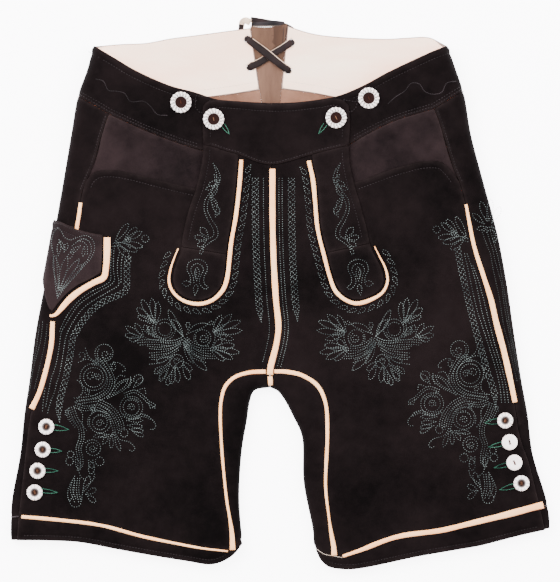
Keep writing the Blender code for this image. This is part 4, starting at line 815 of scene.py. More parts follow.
def lip(k):
    """The corner of the band beside the top of the gusset."""
    top, seam = GUSSET["top"][k], GUSSET["seam"][k]
    return top[0] * (1 - LIP_IN) + seam[0] * LIP_IN, top[1] - LIP_DOWN


BACK_TOP = (
    ((-174.9, 278.2), (-146.3, 279.5), (-119.9, 284.4), (-91.3, 288.1), (-60.5, 292.1)),
    ((166.1, 285.5), (138.6, 285.2), (118.8, 284.1), (68.2, 286.1), (36.3, 289.9)),
)
BACK_SEAM = (
    ((-185.9, 218.9), (-141.9, 217.8), (-86.9, 218.4), (-51.7, 222.8)),
    ((166.1, 218.4), (122.1, 214.0), (72.6, 217.3), (34.1, 224.4)),
)
CENTRE_BACK = ((-8.8, 211.2), (-9.9, 51.2), (-9.9, -100.7))
for k, side in enumerate(SIDES):
    seam, foot = GUSSET["seam"][k], GUSSET["foot"][k]
    C[side]["back_top"] = edge(mark("waist_fold", side), *BACK_TOP[k], lip(k))
    C[side]["gusset_upper"] = edge(lip(k), seam)
    C[side]["back_seam"] = edge(mark("seam_fold", side), *BACK_SEAM[k], seam)
    C[side]["gusset_lower"] = edge(seam, foot)
    C[side]["gusset_foot"] = edge(foot, CENTRE_BACK[0])
    C[side]["centre_back"] = edge(*CENTRE_BACK)
POCKET_MOUTHS = (  # the curved mouth of each front pocket, from the side seam to the flap
    ((-215.1, 117.2), (-211.4, 127.6), (-201.3, 137.0), (-184.8, 139.2), (-162.8, 135.9), (-128.7, 127.1),
        (-95.7, 119.4), (-84.2, 117.2)),
    ((198.0, 126.0), (188.7, 138.6), (178.2, 147.6), (158.4, 148.5), (138.6, 144.1), (118.8, 138.1),
        (85.8, 126.0), (76.5, 123.8)),
)
FLAP_SLITS = (  # the flap's open side, under its strip, from the waist seam down
    ((-79.2, 158.1), (-79.8, 139.2), (-84.2, 119.4), (-93.5, 94.1), (-101.2, 62.2)),
    ((72.6, 158.1), (73.2, 139.2), (76.5, 123.8), (85.8, 100.7), (94.6, 64.4)),
)
DARK_NAP = hide("dark_nap", (11.5, 9, 9.5), (24, 19, 19.5), sheen=0.05, worn=(34, 28, 28), raise_mm=0.3,
                shine=0.03)
FLESH_SIDE = hide("brown_flesh_side", (88, 61, 49), (126, 92, 76), rough=0.9, sheen=0.2, raise_mm=0.3)
DARK = (DARK_NAP, FLESH_SIDE)


def front_leg(side):
    """The front, with the pocket mouth and the flap's open side cut into it."""
    k = SIDES.index(side)
    c = C[side]
    out = -1 if side == "right" else 1
    slit = spline(FLAP_SLITS[k])
    mouth = spline(POCKET_MOUTHS[k])
    cross = np.linalg.norm(slit - mouth[-1], axis=1).argmin()
    gap = 0.35 * np.minimum(1, np.arange(len(slit))[::-1] / 6)[:, None] * np.array([out, 0])
    inner_lip = stops(slit - gap), False
    outer_lip = stops((slit + gap)[cross:]), False
    mouth[-1] = outer_lip[0][0]
    top = edge(mark("fork_top", side), FLAP_SLITS[k][0])
    top[0][-1] = inner_lip[0][0]
    loop = outline(
        c["centre_front"], top, inner_lip, back(outer_lip),
        (stops(mouth)[::-1], False), c["side_lower"], c["slit"], c["hem_front"], c["inseam"],
    )
    return panel(f"front_leg_{side}", [("top", loop, None)], LEG_T, DARK)


PLACKETS = {  # the strip under the front of each leg slit: its upper and lower corners
    "right": dict(top=((-274.7, -141.4), (-238.7, -141.4)), low=((-247.5, -244.2), (-250.3, -266.8))),
    "left": dict(top=((262.1, -140.2), (229.9, -140.2)), low=((245.3, -240.4), (249.2, -265.1))),
}


def placket_level(side):
    """Full height above the slit, and one layer lower where the front lies over it."""
    top = PLACKETS[side]["top"][0][1] + 4

    def level(p, d, r):
        return -UNDER * ease((top + 14 - p[:, 1]) / 12) * ease(d / (0.45 * r))

    return level


def back_leg(side):
    """The back, wrapped over both folds to the seams on the front, with the strip under the slit."""
    c = C[side]
    m = lambda name: mark(name, side)
    p = PLACKETS[side]
    outer = fold_run(side, m("seam_fold"), m("hem_fold"))
    inner = fold_run("inner", m("crotch_fold"), m("hem_inner"))
    bottom = outline(outer, c["hem_back"], back(inner), back(c["centre_back"]), back(c["gusset_foot"]),
                     back(c["gusset_lower"]), back(c["back_seam"]))
    slit_line = spline([m("slit_top"), p["top"][0]])
    hem_x = edge(m("hem_fold"), m("hem_slit"), p["low"][0])
    wrap = outline(outer, hem_x, edge(p["low"][0], p["top"][1]), edge(p["top"][1], p["top"][0]),
                   (stops(slit_line)[::-1], False), back(c["side_lower"]), back(c["side_upper"]),
                   back(c["front_seam_outer"]))
    crotch = outline(inner, back(c["hem_wrap"]), c["inseam"], c["crotch_wrap"])
    return panel(f"back_leg_{side}", [("bottom", bottom, None), ("top", wrap, placket_level(side)),
                                      ("top", crotch, None)], LEG_T, DARK)


for k, side in enumerate(SIDES):
    ROLLED[f"front_leg_{side}"] = [(spline(POCKET_MOUTHS[k])[:-8], 7.6, 0.85)]
    for make, below in ((back_leg, ()), (front_leg, (f"back_leg_{side}",))):
        leg = make(side)
        solid = leg.name.replace("_leather", "")
        dress(leg, solid)


# ---------------------------------------------------------------- hem bands
# A band of the same leather is sewn on below each leg, with piping in its seam. At the outer
# slit its front edge lies free over the back, which runs on beneath it as an underlay.
def hem_band(side):
    """The band round one hem: its back, its front, and its tail that lies under the slit."""
    c = C[side]
    m = lambda name: mark(name, side)
    p = PLACKETS[side]
    outer = fold_run(side, m("hem_fold"), m("foot_fold"))
    inner = fold_run("inner", m("hem_inner"), m("foot_inner"))
    bottom = outline(outer, c["foot_back"], back(inner), back(c["hem_back"]))
    front = outline(inner, back(c["foot_front"]), back(c["slit_hem"]), c["hem_front"], c["hem_wrap"])
    under = outline(outer, edge(m("foot_fold"), p["low"][1]), edge(p["low"][1], p["low"][0]),
                    back(edge(m("hem_fold"), m("hem_slit"), p["low"][0])))
    return panel(f"hem_band_{side}", [("bottom", bottom, None), ("top", front, None),
                                      ("top", under, placket_level(side))], LEG_T, DARK)


HEM_ROLL = 5.4                       # its lower edge is turned up this far and sewn down
for side in SIDES:
    solid = f"hem_band_{side}"
    ROLLED[solid] = [(C[side]["foot_front"][0], HEM_ROLL, 0.3), (C[side]["foot_back"][0], HEM_ROLL, 0.0)]
    dress(hem_band(side), solid)


# ---------------------------------------------------------------- waistband and its lining
# Dark leather outside and a cream sheepskin lining inside, turned over together at the top edge
# and sewn down in a narrow roll. Each half runs from the back gusset round to the flap.
SLOT_LONG, SLOT_WIDE = LACE_W + 1.4, 4.0
MIDDLE_X, FLAP_HALF = -4.0, 84.0             # the flap hides the band's seams this far from its middle


def slots(side, spare=0.0):
    """The lacing slots in one half of the band, each across its strap."""
    loops = []
    for _, x, y, way in LACE_HOLES:
        if (x < GUSSET["foot"][0][0]) != (side == "right"):
            continue
        t = np.array([math.cos(math.radians(way)), math.sin(math.radians(way))])
        w = np.array([-t[1], t[0]])
        a, b = SLOT_WIDE / 2 + spare, SLOT_LONG / 2 + spare
        corners = ((-1, -1), (1, -1), (1, 1), (-1, 1))
        loops.append(np.array([(x, y) + t * i * a + w * j * b for i, j in corners]))
    return loops


def waistband(side, name, outer, thick, colour, inset):
    """One half of the band, or of its lining where it is drawn in by more than a seam."""
    c = C[side]
    run = fold_run(side, mark("waist_fold", side), mark("seam_fold", side))
    lining = inset > SEAM
    if lining:
        line, _ = run
        run = fold_run(side, at(line, 2.5 * inset), at(line, lengths(line)[-1] - inset))
    back_sheet = outline(run, c["back_seam"], back(c["gusset_upper"]), back(c["back_top"]), inset=inset)
    front = outline(run, c["front_seam_outer"], c["front_seam"],
                    edge(mark("band_centre", side), mark("waist_centre", side)),
                    back(c["front_top"]), inset=inset)
    ease_off = (lambda p, d, r: -1.5 * (1 - ease(d / (2.0 * r)))) if lining else None
    sheet = ("bottom", back_sheet, ease_off, *slots(side, 0.2 if lining else 0.0))
    return panel(name, [sheet, ("top", front, ease_off)], thick, colour, outer=outer)


CREAM_SKIN = hide("cream_lining", (250, 206, 180), (255, 226, 204), rough=0.6, sheen=0.12, cloud=14.0,
                  mottle=30.0, nap=700.0, raise_mm=0.12, streak=(0.5, 2.2, 1))
BAND_INSIDE = hide("band_flesh_side", (122, 100, 94), (160, 138, 130), rough=0.9, sheen=0.2, raise_mm=0.2)
LINING_IN = 1.2                       # how far the lining's edges lie inside the band's
BAND_ROLL, BAND_ROWS = 8.4, (2.6, 5.6)       # the roll at its top, and the rows over its lower seam
linings = {}
for side in SIDES:
    c = C[side]
    top = c["front_top"][0]
    free = top[np.abs(top[:, 0] - MIDDLE_X) > FLAP_HALF]
    seam = np.vstack([c["front_seam_outer"][0], c["front_seam"][0][1:]])
    seam = seam[np.abs(seam[:, 0] - MIDDLE_X) > FLAP_HALF]
    band, inner = f"waistband_{side}", f"waistband_lining_{side}"
    ROLLED[band] = [(free, BAND_ROLL, 0.75)]
    SEWN[band] = [(seam, row) for row in BAND_ROWS]
    outside = waistband(side, band, 0.0, BAND_T, (DARK_NAP, BAND_INSIDE), SEAM / 2)
    dress(outside, band)
    linings[side] = waistband(side, inner, -(BAND_T + SEAM), LINING_T, (CREAM_SKIN, CREAM_SKIN), LINING_IN)
    dress(linings[side], inner)


# ---------------------------------------------------------------- back gusset
# A narrow wedge of undyed suede fills the slit at the centre back, so that the lace can draw the
# band in. It is creased down its middle, and its top edge is pinked and overcast.
TEETH, TOOTH = 17, 1.2               # pinked points along its top, and how deep they are
# the second finish is the suede painted darker, as the shade beside the crease
GUSSET_SUEDE, GUSSET_SHADE, GUSSET_LOW = (
    hide(name, deep, pale, rough=0.92, sheen=0.2, cloud=22.0, mottle=60.0, raise_mm=0.3,
         streak=(2.6, 0.5, 1))
    for name, deep, pale in (("gusset_suede", (63, 45, 36), (88, 65, 52)),
                             ("gusset_suede_painted_shade", (49, 34, 27), (70, 50, 39)),
                             ("gusset_suede_low", (72, 52, 43), (100, 75, 62))))
CREASE, TURNED = -6.4, 4.0           # x where the wedge folds down, and where its edge is turned up
TURN_FOOT, CREASE_FOOT = 278.9, 220.6        # y where the turned edge and the crease run out
PALER_BELOW_Y, PALER_SLOPE = 262.4, 0.75       # below this, falling away to each side, the suede is paler


def gusset_top(t, drop):
    """Points on the wedge's top edge, this far below its straight line in the middle."""
    (rt, lt), bow = GUSSET["top"], np.sin(np.pi * t)
    return np.column_stack([rt[0] + (lt[0] - rt[0]) * t, rt[1] + (lt[1] - rt[1]) * t - drop * bow])


def back_gusset():
    """The wedge, pinked along its top, with a crease and one turned edge."""
    right_top, left_top = GUSSET["top"]
    pinked = gusset_top(np.linspace(0, 1, 2 * TEETH + 1), 2.1)
    pinked[1::2, 1] -= TOOTH
    loop = outline(
        (pinked, False),
        edge(left_top, lip(1)),
        C["left"]["gusset_upper"], C["left"]["gusset_lower"], C["left"]["gusset_foot"],
        back(C["right"]["gusset_foot"]), back(C["right"]["gusset_lower"]), back(C["right"]["gusset_upper"]),
        edge(lip(0), right_top),
    )

    def level(p, d, r):
        fold = -1.1 * np.exp(-np.maximum(0, (p[:, 0] - CREASE) / 5.0)) * ease((p[:, 0] - CREASE + 9) / 9)
        turned_up = -1.0 * ease((p[:, 0] - TURNED) / 1.2) * ease((p[:, 1] - TURN_FOOT) / 3.0)
        return fold * ease((p[:, 1] - CREASE_FOOT) / 30.0) + turned_up

    finish = (GUSSET_SUEDE, GUSSET_SUEDE, GUSSET_SHADE, GUSSET_LOW)      # outside, inside, painted shade beside the crease, paler low down
    piece = panel("back_gusset", [("bottom", loop, level)], LEG_T, finish, grid=2.0)
    for face in piece.data.polygons:
        x, y, _ = face.center * 1000
        if y < PALER_BELOW_Y - abs(x - CENTRE_BACK[0][0]) * PALER_SLOPE:
            face.material_index = 3
        # beside the crease the suede is painted darker: painted shade where the fold falls away
        if CREASE < x < TURNED + (y < TURN_FOOT) * 9 and y > 258.0 + (x - CREASE) * 0.4:
            face.material_index = 2
    return piece


gusset = back_gusset()
dress(gusset, "back_gusset")


# ---------------------------------------------------------------- front pocket facings
# Behind each curved pocket mouth lies a facing of thinner, paler suede, sewn in at the waistband
# and the side seam and lying one layer down where the front leg covers its foot.
FACINGS = {  # its far side, foot and near side, and where it fades down from the band and the side seam
    "right": dict(
        far=((-60.5, 158.5), (-62.7, 126.0), (-67.1, 93.0)),
        foot=((-67.1, 93.0), (-97.9, 94.1), (-130.9, 99.6), (-162.8, 107.3), (-185.9, 110.6),
            (-214.0, 112.8)),
        near=((-214.0, 112.8), (-213.6, 124.9), (-207.2, 139.2), (-201.1, 152.4)),
        fade=(-100.1, -86.9),
        side_y=(161.2, 178.8)),
    "left": dict(
        far=((56.1, 158.5), (57.2, 126.0), (61.6, 97.4)),
        foot=((61.6, 97.4), (85.8, 100.7), (118.8, 110.6), (146.3, 119.4), (166.1, 119.4), (197.5, 117.2)),
        near=((197.5, 117.2), (196.1, 129.2), (190.7, 144.1), (186.1, 156.8)),
        fade=(93.5, 80.3),
        side_y=(168.9, 184.3)),
}
FACING = (
    hide("facing_nap", (18, 13.5, 14.5), (37, 29, 30), sheen=0.06, cloud=10.0, worn=(42, 34, 34),
        raise_mm=0.3, shine=0.05),
    FLESH_SIDE,
)


def pocket_facing(side):
    """The facing behind one mouth: sewn level with the band and side seam, one layer down elsewhere."""
    f, c = FACINGS[side], C[side]
    seam, upper = c["front_seam"][0], c["side_upper"][0]
    turn = f["far"][0][0]
    keep = seam[:, 0] < turn - 6 if side == "right" else seam[:, 0] > turn + 6
    top = np.vstack([seam[keep], [(turn, seam[~keep][0, 1])]])
    stop = np.linalg.norm(upper - np.array(f["near"][-1]), axis=1).argmin()
    near_side = np.vstack([[f["near"][-1]], upper[max(1, stop - 1) :: -1]]) if stop > 0 else upper[:1]
    far = edge((turn, top[-1, 1]), *f["far"][1:])
    (x0, x1), (y0, y1) = f["fade"], f["side_y"]

    def level(p, d, r):
        from_seam, from_side = (to_line(p, line, closed=False) - 0.4 for line in (seam, upper))
        band = (1 - ease(from_seam / 15)) * (1 - ease((p[:, 0] - x0) / (x1 - x0)))
        edge_side = (1 - ease(from_side / 13)) * ease((p[:, 1] - y0) / (y1 - y0))
        return -UNDER * (1 - np.maximum(band, edge_side))

    loop = outline((top, False), far, edge(*f["foot"]), edge(*f["near"]), (near_side, False))
    return panel(f"pocket_facing_{side}", [("top", loop, level)], LEG_T, FACING, grid=12.0)


for side in SIDES:
    solid = f"pocket_facing_{side}"
    SEWN[solid] = [(C[side]["front_seam"][0], 3.0)]
    dress(pocket_facing(side), solid)


# ---------------------------------------------------------------- knife pocket
# A pouch for a knife on the wearer's right thigh: one piece of the paler suede, sewn down at the
# side fold and under the piping, its mouth hemmed and standing a little open.
POCKET_MOUTH, MOUTH_HEM = 7.0, 8.6   # how far its mouth stands open, and how deep its hem is
FLAP_UP = SEAM + LEG_T               # a piece that lies on another is this much higher
KNIFE = dict(
    mouth=((-248.6, 83.7), (-238.7, 81.7), (-222.8, 74.9), (-207.9, 70.3), (-193.2, 67.7)),
    right=((-193.2, 67.7), (-194.0, 44.6), (-195.4, 26.1)),
    foot=((-195.4, 26.1), (-207.5, 19.0), (-221.5, 12.0), (-234.3, 1.7), (-243.5, -8.9), (-249.0, -16.2)),
    side=((-255.6, 0.6), (-254.3, -7.2), (-252.3, -13.1), (-249.0, -16.2)),
    fold=((-248.6, 83.7), (-256.3, 14.9)),
    pipe=((-188.5, 65.0), (-189.0, 43.5), (-190.3, 28.1), (-192.1, 21.0), (-203.1, 15.3), (-218.0, 6.5),
          (-230.1, -3.2), (-239.9, -14.4), (-244.2, -19.2), (-248.2, -21.2), (-251.5, -20.8)),
)


def knife_pocket():
    """The pouch, wrapped a little way round the side fold, puffed out below its mouth."""
    fold = FOLDS["right"]
    ends = [fold[np.abs(fold[:, 1] - y).argmin()] for y in (KNIFE["mouth"][0][1], KNIFE["fold"][1][1])]
    run = fold_run("right", *ends)
    line = run[0]
    mouth = edge(line[0], *KNIFE["mouth"][1:])
    loop = outline(run, edge(line[-1], *KNIFE["side"]), back(edge(*KNIFE["foot"])),
                   back(edge(*KNIFE["right"])), back(mouth))

    def level(p, d, r):
        across = np.clip((p[:, 0] - line[0][0]) / (KNIFE["mouth"][-1][0] - line[0][0]), 0, 1)
        down = np.clip((KNIFE["mouth"][0][1] - p[:, 1]) / 70.0, 0, 1)
        puff = np.clip(4 * across * (1 - across), 0, 1) ** 0.7 * ease(d / r) * (1 - down) ** 2
        return FLAP_UP + 1.3 * (1 - ease(d / (2 * r))) + 0.1 + (POCKET_MOUTH - SEAM) * puff

    return panel("knife_pocket", [("top", loop, level)], LEG_T, FACING, grid=12.0)


ROLLED["knife_pocket"] = [(spline(KNIFE["mouth"]), MOUTH_HEM, 0.45)]
knife = knife_pocket()
dress(knife, "knife_pocket")


# ---------------------------------------------------------------- drop front
# The flap that opens the trousers: a band across the waist buttoned at its corners, and a strip
# down each side that ends in a rounded tongue. Its free edges are turned and sewn down in a roll.
PIPE_W, PIPE_H = 6.2, 1.9              # the piping that edges each strip and tongue
FLAP_ROLL, FLAP_ROW = 7.8, 2.6         # the roll round its top, and the row over its lower seam
STRIP_ROLL = 7.4                       # the roll down each strip's free edge
FLAP_TOP = (
    (-83.6, 208.5), (-79.2, 213.4), (-72.6, 215.1), (-40.7, 213.4), (-22.0, 211.8), (4.4, 211.1),
    (45.1, 215.1), (59.4, 217.5), (70.4, 215.1), (76.5, 209.6),
)
FLAP_LOW = (
    (-83.2, 166.2), (-74.8, 165.1), (-59.7, 160.1), (-44.0, 155.7), (-24.2, 147.5), (-7.3, 144.7),
    (9.9, 148.0), (31.9, 154.6), (51.3, 160.1), (69.3, 164.2), (76.7, 166.0),
)
STRIPS = {  # its free outer edge, its inner edge beside the piping, and the middle of the piping
    "right": dict(
        outer=((-83.2, 166.2), (-83.6, 155.7), (-85.8, 141.4), (-90.8, 119.4), (-99.4, 94.1),
            (-106.5, 62.2), (-107.1, 54.5)),
        inner=((-44.9, 155.3), (-46.4, 128.2), (-50.8, 88.6), (-55.9, 59.4), (-58.7, 46.1)),
        pipe=((-41.4, 150.2), (-42.9, 128.2), (-47.3, 88.6), (-52.4, 59.4), (-57.9, 16.0), (-63.1, 5.0),
            (-74.1, -4.5), (-88.7, -8.2), (-106.0, -3.9), (-117.3, 6.5), (-120.7, 17.1), (-118.9, 30.3),
            (-114.8, 42.4), (-110.4, 52.9))),
    "left": dict(
        outer=((76.7, 166.0), (77.4, 150.2), (82.0, 126.0), (89.5, 100.7), (97.0, 72.1), (99.7, 58.3)),
        inner=((35.6, 155.7), (36.7, 144.7), (40.9, 128.2), (43.2, 104.0), (46.0, 74.2), (51.9, 48.3)),
        pipe=((32.6, 149.1), (37.2, 128.2), (39.6, 104.0), (42.4, 74.2), (49.5, 44.6), (55.4, 22.6),
            (62.3, 5.6), (73.7, -4.1), (85.1, -7.6), (99.0, -4.3), (113.7, 4.5), (119.0, 16.0),
            (117.0, 30.3), (110.2, 44.0), (104.7, 55.1))),
}


def flap_level(p, d, r):
    """The whole flap lies one layer up."""
    return np.full(len(p), FLAP_UP)


def flap_band():
    """The band that buttons across the waist."""
    loop = outline(edge(FLAP_LOW[0], (-84.0, 188.7), FLAP_TOP[0]), edge(*FLAP_TOP),
                   edge(FLAP_TOP[-1], (78.1, 188.7), FLAP_LOW[-1]), back(edge(*FLAP_LOW)))
    return panel("flap_band", [("top", loop, flap_level)], LEG_T, DARK)


def along_piping(side, start, stop, gap=PIPE_W / 2 + 0.8):
    """The line beside the flap's piping, on the inside of its bend."""
    line = spline(STRIPS[side]["pipe"])
    t = np.gradient(line, axis=0)
    t /= np.linalg.norm(t, axis=1)[:, None]
    n = np.stack([t[:, 1], -t[:, 0]], axis=1) * (1 if side == "right" else -1)
    line = line + n * gap
    a, b = (np.linalg.norm(line - q, axis=1).argmin() for q in (start, stop))
    return line[a : b + 1]


def flap_side(side):
    """The strip down one side of the flap and the rounded tongue it ends in."""
    s = STRIPS[side]
    low = spline(FLAP_LOW)
    a, b = (np.linalg.norm(low - s[part][0], axis=1).argmin() for part in ("outer", "inner"))
    head = low[min(a, b) : max(a, b) + 1]
    head = head if a < b else head[::-1]
    by_pipe = along_piping(side, s["inner"][0], s["pipe"][-1])
    knee = np.linalg.norm(by_pipe - s["inner"][-1], axis=1).argmin()
    inner = np.vstack([head[-1:], by_pipe[2 : knee + 1]])
    tongue_seam = spline([s["outer"][-1], inner[-1]])
    loop = outline((stops(head), False), (stops(inner), False), (stops(tongue_seam)[::-1], False),
                   back(edge(*s["outer"])))
    strip = panel(f"flap_strip_{side}", [("top", loop, flap_level)], LEG_T, DARK)
    rest = by_pipe[knee:]
    rest = rest[: np.linalg.norm(rest - s["outer"][-1], axis=1).argmin()]
    rest = np.vstack([rest, [s["outer"][-1]]])
    loop = outline((stops(tongue_seam), False), (stops(rest, 9.0), False))
    tongue = panel(f"flap_tongue_{side}", [("top", loop, flap_level)], LEG_T, DARK)
    return strip, tongue


for side in SIDES:
    ROLLED[f"flap_strip_{side}"] = [(spline(STRIPS[side]["outer"]), STRIP_ROLL, 0.7)]
rim_line = spline([FLAP_LOW[0], (-83.4, 218.4), *FLAP_TOP, (78.8, 218.4), FLAP_LOW[-1]])
ROLLED["flap_band"] = [(rim_line, FLAP_ROLL, 0.8)]
SEWN["flap_band"] = [(spline(FLAP_LOW), FLAP_ROW)]
dress(flap_band(), "flap_band")
for side in SIDES:
    for piece, part in zip(flap_side(side), ("strip", "tongue")):
        solid = f"flap_{part}_{side}"
        dress(piece, solid)


# ---------------------------------------------------------------- piping
# Strips of peach-coloured leather folded over a thin core: down the centre front and the side
# seams, round the inside leg, in the hem seams, along the knife pocket and round the flap.
PIPE_SECTION = (
    (-0.5, 0.0), (-0.25, 0.0), (0.0, 0.0), (0.25, 0.0), (0.5, 0.0), (0.52, 0.2), (0.5, 0.42), (0.43, 0.66),
    (0.3, 0.86), (0.12, 0.95), (-0.06, 0.96), (-0.24, 0.9), (-0.38, 0.76), (-0.47, 0.56), (-0.51, 0.3),
)
# the second skin is the first painted darker, as shade on the side of each strip turned from the lamps
PIPE_SKIN = [
    hide(name, deep, pale, rough=rough, sheen=0.05, cloud=26.0, mottle=120.0, nap=800.0, raise_mm=0.12)
    for name, deep, pale, rough in (("piping_skin", (250, 174, 116), (255, 198, 142), 0.5),
                                    ("piping_skin_painted_shade", (170, 108, 80), (200, 140, 108), 0.6))]
PAINTED_SHADE_WAY = np.array([0.57, -0.82])      # painted shade: faces of each strip turned this way get the darker skin
PIPE_STOPS = (0.0, 0.5, 0.7, 0.85, 1.0)
PIPE_SHARE = {  # part of the full width that shows at those stops along each strip
    "piping_centre_front": (1.0, 1.0, 1.0, 1.05, 1.1), "piping_crotch": (0.85, 0.8, 0.8, 0.8, 0.75),
    "piping_inseam_right": (0.72, 0.5, 0.46, 0.52, 1.0), "piping_inseam_left": (0.72, 0.62, 0.5, 0.46, 1.0),
    "piping_hem_right": (0.62, 0.58, 0.5, 0.42, 0.3), "piping_hem_left": (1.2, 0.88, 0.84, 0.84, 0.5),
    "piping_side_left": (0.5, 0.9, 1.0, 1.0, 0.8), "piping_side_right": (0.8, 0.82, 0.86, 0.9, 0.95),
    "piping_side_right_top": (0.55, 0.65, 0.7, 0.75, 0.8),
    "piping_knife_pocket": (1.15, 1.0, 1.12, 1.0, 0.4), "piping_flap_right": (0.7, 0.74, 0.66, 0.46, 0.2),
    "piping_flap_left": (0.74, 0.62, 0.74, 0.42, 0.18),
}
PIPINGS = {  # name: points along its middle
    "piping_centre_front": ((-7.2, 140.2), (-7.2, 95.2), (-6.1, 45.7), (-3.3, -3.9), (-0.6, -32.5),
        (-2.2, -49.0), (-6.1, -65.5), (-9.2, -77.6), (-9.9, -85.9)),
    "piping_crotch": ((-9.9, -87.7), (-9.2, -96.7)),
    "piping_inseam_right": ((-14.5, -82.4), (-31.9, -83.4), (-48.4, -88.6), (-58.9, -99.0), (-63.5, -115.0),
        (-64.4, -130.4), (-62.7, -168.9), (-57.4, -223.9), (-54.1, -243.7), (-51.7, -261.2),
        (-51.0, -278.2)),
    "piping_inseam_left": ((-5.1, -82.2), (9.9, -82.8), (26.4, -87.0), (42.4, -98.2), (50.8, -116.1),
        (53.1, -146.9), (51.2, -208.5), (54.7, -241.5), (57.6, -261.2), (60.0, -274.5), (60.7, -284.4)),
    "piping_side_right_top": ((-217.6, 102.9), (-219.3, 88.6), (-221.5, 76.5), (-223.5, 66.6)),
    "piping_side_right": ((-248.4, -27.4), (-249.7, -52.3), (-255.2, -78.7), (-262.9, -105.1),
        (-271.3, -123.2)),
    "piping_side_left": ((205.0, 101.2), (214.0, 55.6), (225.0, 20.4), (232.1, -1.7), (238.7, -30.3),
        (246.4, -58.9), (253.0, -87.5), (258.9, -116.1)),
    "piping_hem_right": ((-282.7, -241.7), (-247.5, -244.8), (-196.9, -251.1), (-149.6, -263.5),
        (-110.0, -271.7), (-80.3, -277.0), (-56.1, -279.7)),
    "piping_hem_left": ((290.0, -228.9), (280.5, -231.3), (246.4, -240.4), (210.1, -249.2), (178.2, -256.9),
        (134.2, -262.9), (115.5, -268.3), (90.8, -277.9), (78.7, -282.2), (70.0, -285.2)),
    "piping_knife_pocket": KNIFE["pipe"],
}


def ribbon(name, points):
    """One strip of piping along its seam, rounded over and flat under, its width a little uneven, and its
    faces turned to the lower right painted darker as shade.
    """
    dense = spline(points)
    total = lengths(dense)[-1]
    n = max(4, round(total / 2.6))
    s = np.linspace(0, total, n + 1)
    mid = at(dense, s)
    t = at(dense, np.minimum(s + 1, total)) - at(dense, np.maximum(s - 1, 0))
    t /= np.linalg.norm(t, axis=1)[:, None]
    side = np.stack([-t[:, 1], t[:, 0]], axis=1)
    uneven = 1 + 0.035 * np.sin(s / 6.3 + len(name)) + 0.03 * np.sin(s / 17.0)
    thin = np.where(np.minimum(s, total - s) < 1.2, 0.8, 1.0)
    share = np.interp(s / total, PIPE_STOPS, PIPE_SHARE[name])
    width = PIPE_W * uneven * share
    rings = []
    for across, up in PIPE_SECTION:
        base, out, _, _ = form(mid + side * (across * width)[:, None], "top")
        high = SEAM + 0.08 + up * PIPE_H * (thin if up > 0.5 else np.ones(n + 1))
        rings.append(base + out * high[:, None])
    V = np.stack(rings, axis=1)
    m = len(PIPE_SECTION)
    faces, marks = [], []
    toward_painted_shade = side @ PAINTED_SHADE_WAY
    for i in range(n):
        for j in range(m):
            a, b = i * m + j, i * m + (j + 1) % m
            faces.append((a, b, b + m, a + m))
            (xa, za), (xb, zb) = PIPE_SECTION[j], PIPE_SECTION[(j + 1) % m]
            outward = (zb - za) * PIPE_H / math.hypot((xb - xa) * PIPE_W, (zb - za) * PIPE_H)
            # faces turned to the lower right take the darker second skin: painted shade
            marks.append(1 if outward * toward_painted_shade[i] > 0.45 else 0)
    faces += [tuple(range(m))[::-1], tuple(n * m + j for j in range(m))]
    return put(name + "_strip", V.reshape(-1, 3), faces, PIPE_SKIN, marks + [0, 0])


for side in SIDES:
    PIPINGS[f"piping_flap_{side}"] = STRIPS[side]["pipe"]
for name, points in PIPINGS.items():
    dress(ribbon(name, points), name)


# ---------------------------------------------------------------- buttons
# Turned horn buttons: four carved with a ring of beads at the waist and on the flap, and four
# smaller ones with grooved rims down each leg slit, sewn on through a sunk middle.
# Each middle is stained dark; the gaps between the beads and the grooves of the rims are painted darker as
# shade.
BUTTONS = (  # name, x, y, across, height of the layer it lies on
    ("button_waist_right", -107.4, 212.9, 24.0, 0.0), ("button_waist_left", 98.3, 217.5, 24.0, 0.0),
    ("button_flap_right", -71.7, 194.6, 24.0, FLAP_UP), ("button_flap_left", 62.7, 196.1, 24.0, FLAP_UP),
    ("button_leg_right_1", -255.4, -142.8, 18.6, 0.0), ("button_leg_right_2", -259.4, -167.9, 18.6, 0.0),
    ("button_leg_right_3", -265.1, -191.3, 18.6, 0.0), ("button_leg_right_4", -268.2, -215.1, 18.6, 0.0),
    ("button_leg_left_1", 248.2, -135.9, 18.6, 0.0), ("button_leg_left_2", 253.1, -159.8, 18.6, 0.0),
    ("button_leg_left_3", 258.4, -182.2, 18.6, 0.0), ("button_leg_left_4", 266.2, -205.0, 18.6, 0.0),
)
PLAIN_BUTTONS = ("button_leg_left_2", "button_leg_left_3")      # two of the small ones have no grooves
BUTTON_THICK, AROUND, BEADS, GROOVES = 3.2, 128, 16, 12
HORN = bpy.data.materials.new("carved_horn")
HORN.use_nodes = True
tree = HORN.node_tree
place = node(tree, "ShaderNodeTexCoord").outputs["Object"]
veins = node(tree, "ShaderNodeTexNoise", [("Vector", place), ("Scale", 260.0), ("Detail", 5.0)])
horn_tone = two_tone(tree, veins.outputs["Fac"], (0.35, (248, 228, 222)), (0.7, (255, 252, 250)))
# one mark holds the middle's real stain and the painted shade in the carved gaps
stain_and_shade_share = node(tree, "ShaderNodeAttribute", attribute_name="stain_and_shade").outputs["Fac"]
stain_and_shade_colour = node(tree, "ShaderNodeMix", [("Factor", stain_and_shade_share), ("A", horn_tone), ("B", tone(34, 24, 23))],
               data_type="RGBA")
polish = node(tree, "ShaderNodeMath", enumerate((stain_and_shade_share, -0.22, 0.22)), operation="MULTIPLY_ADD")
wire(tree, tree.nodes["Principled BSDF"], (("Base Color", stain_and_shade_colour.outputs["Result"]), ("Roughness", 0.42),
                                           ("Specular IOR Level", polish.outputs[0])))
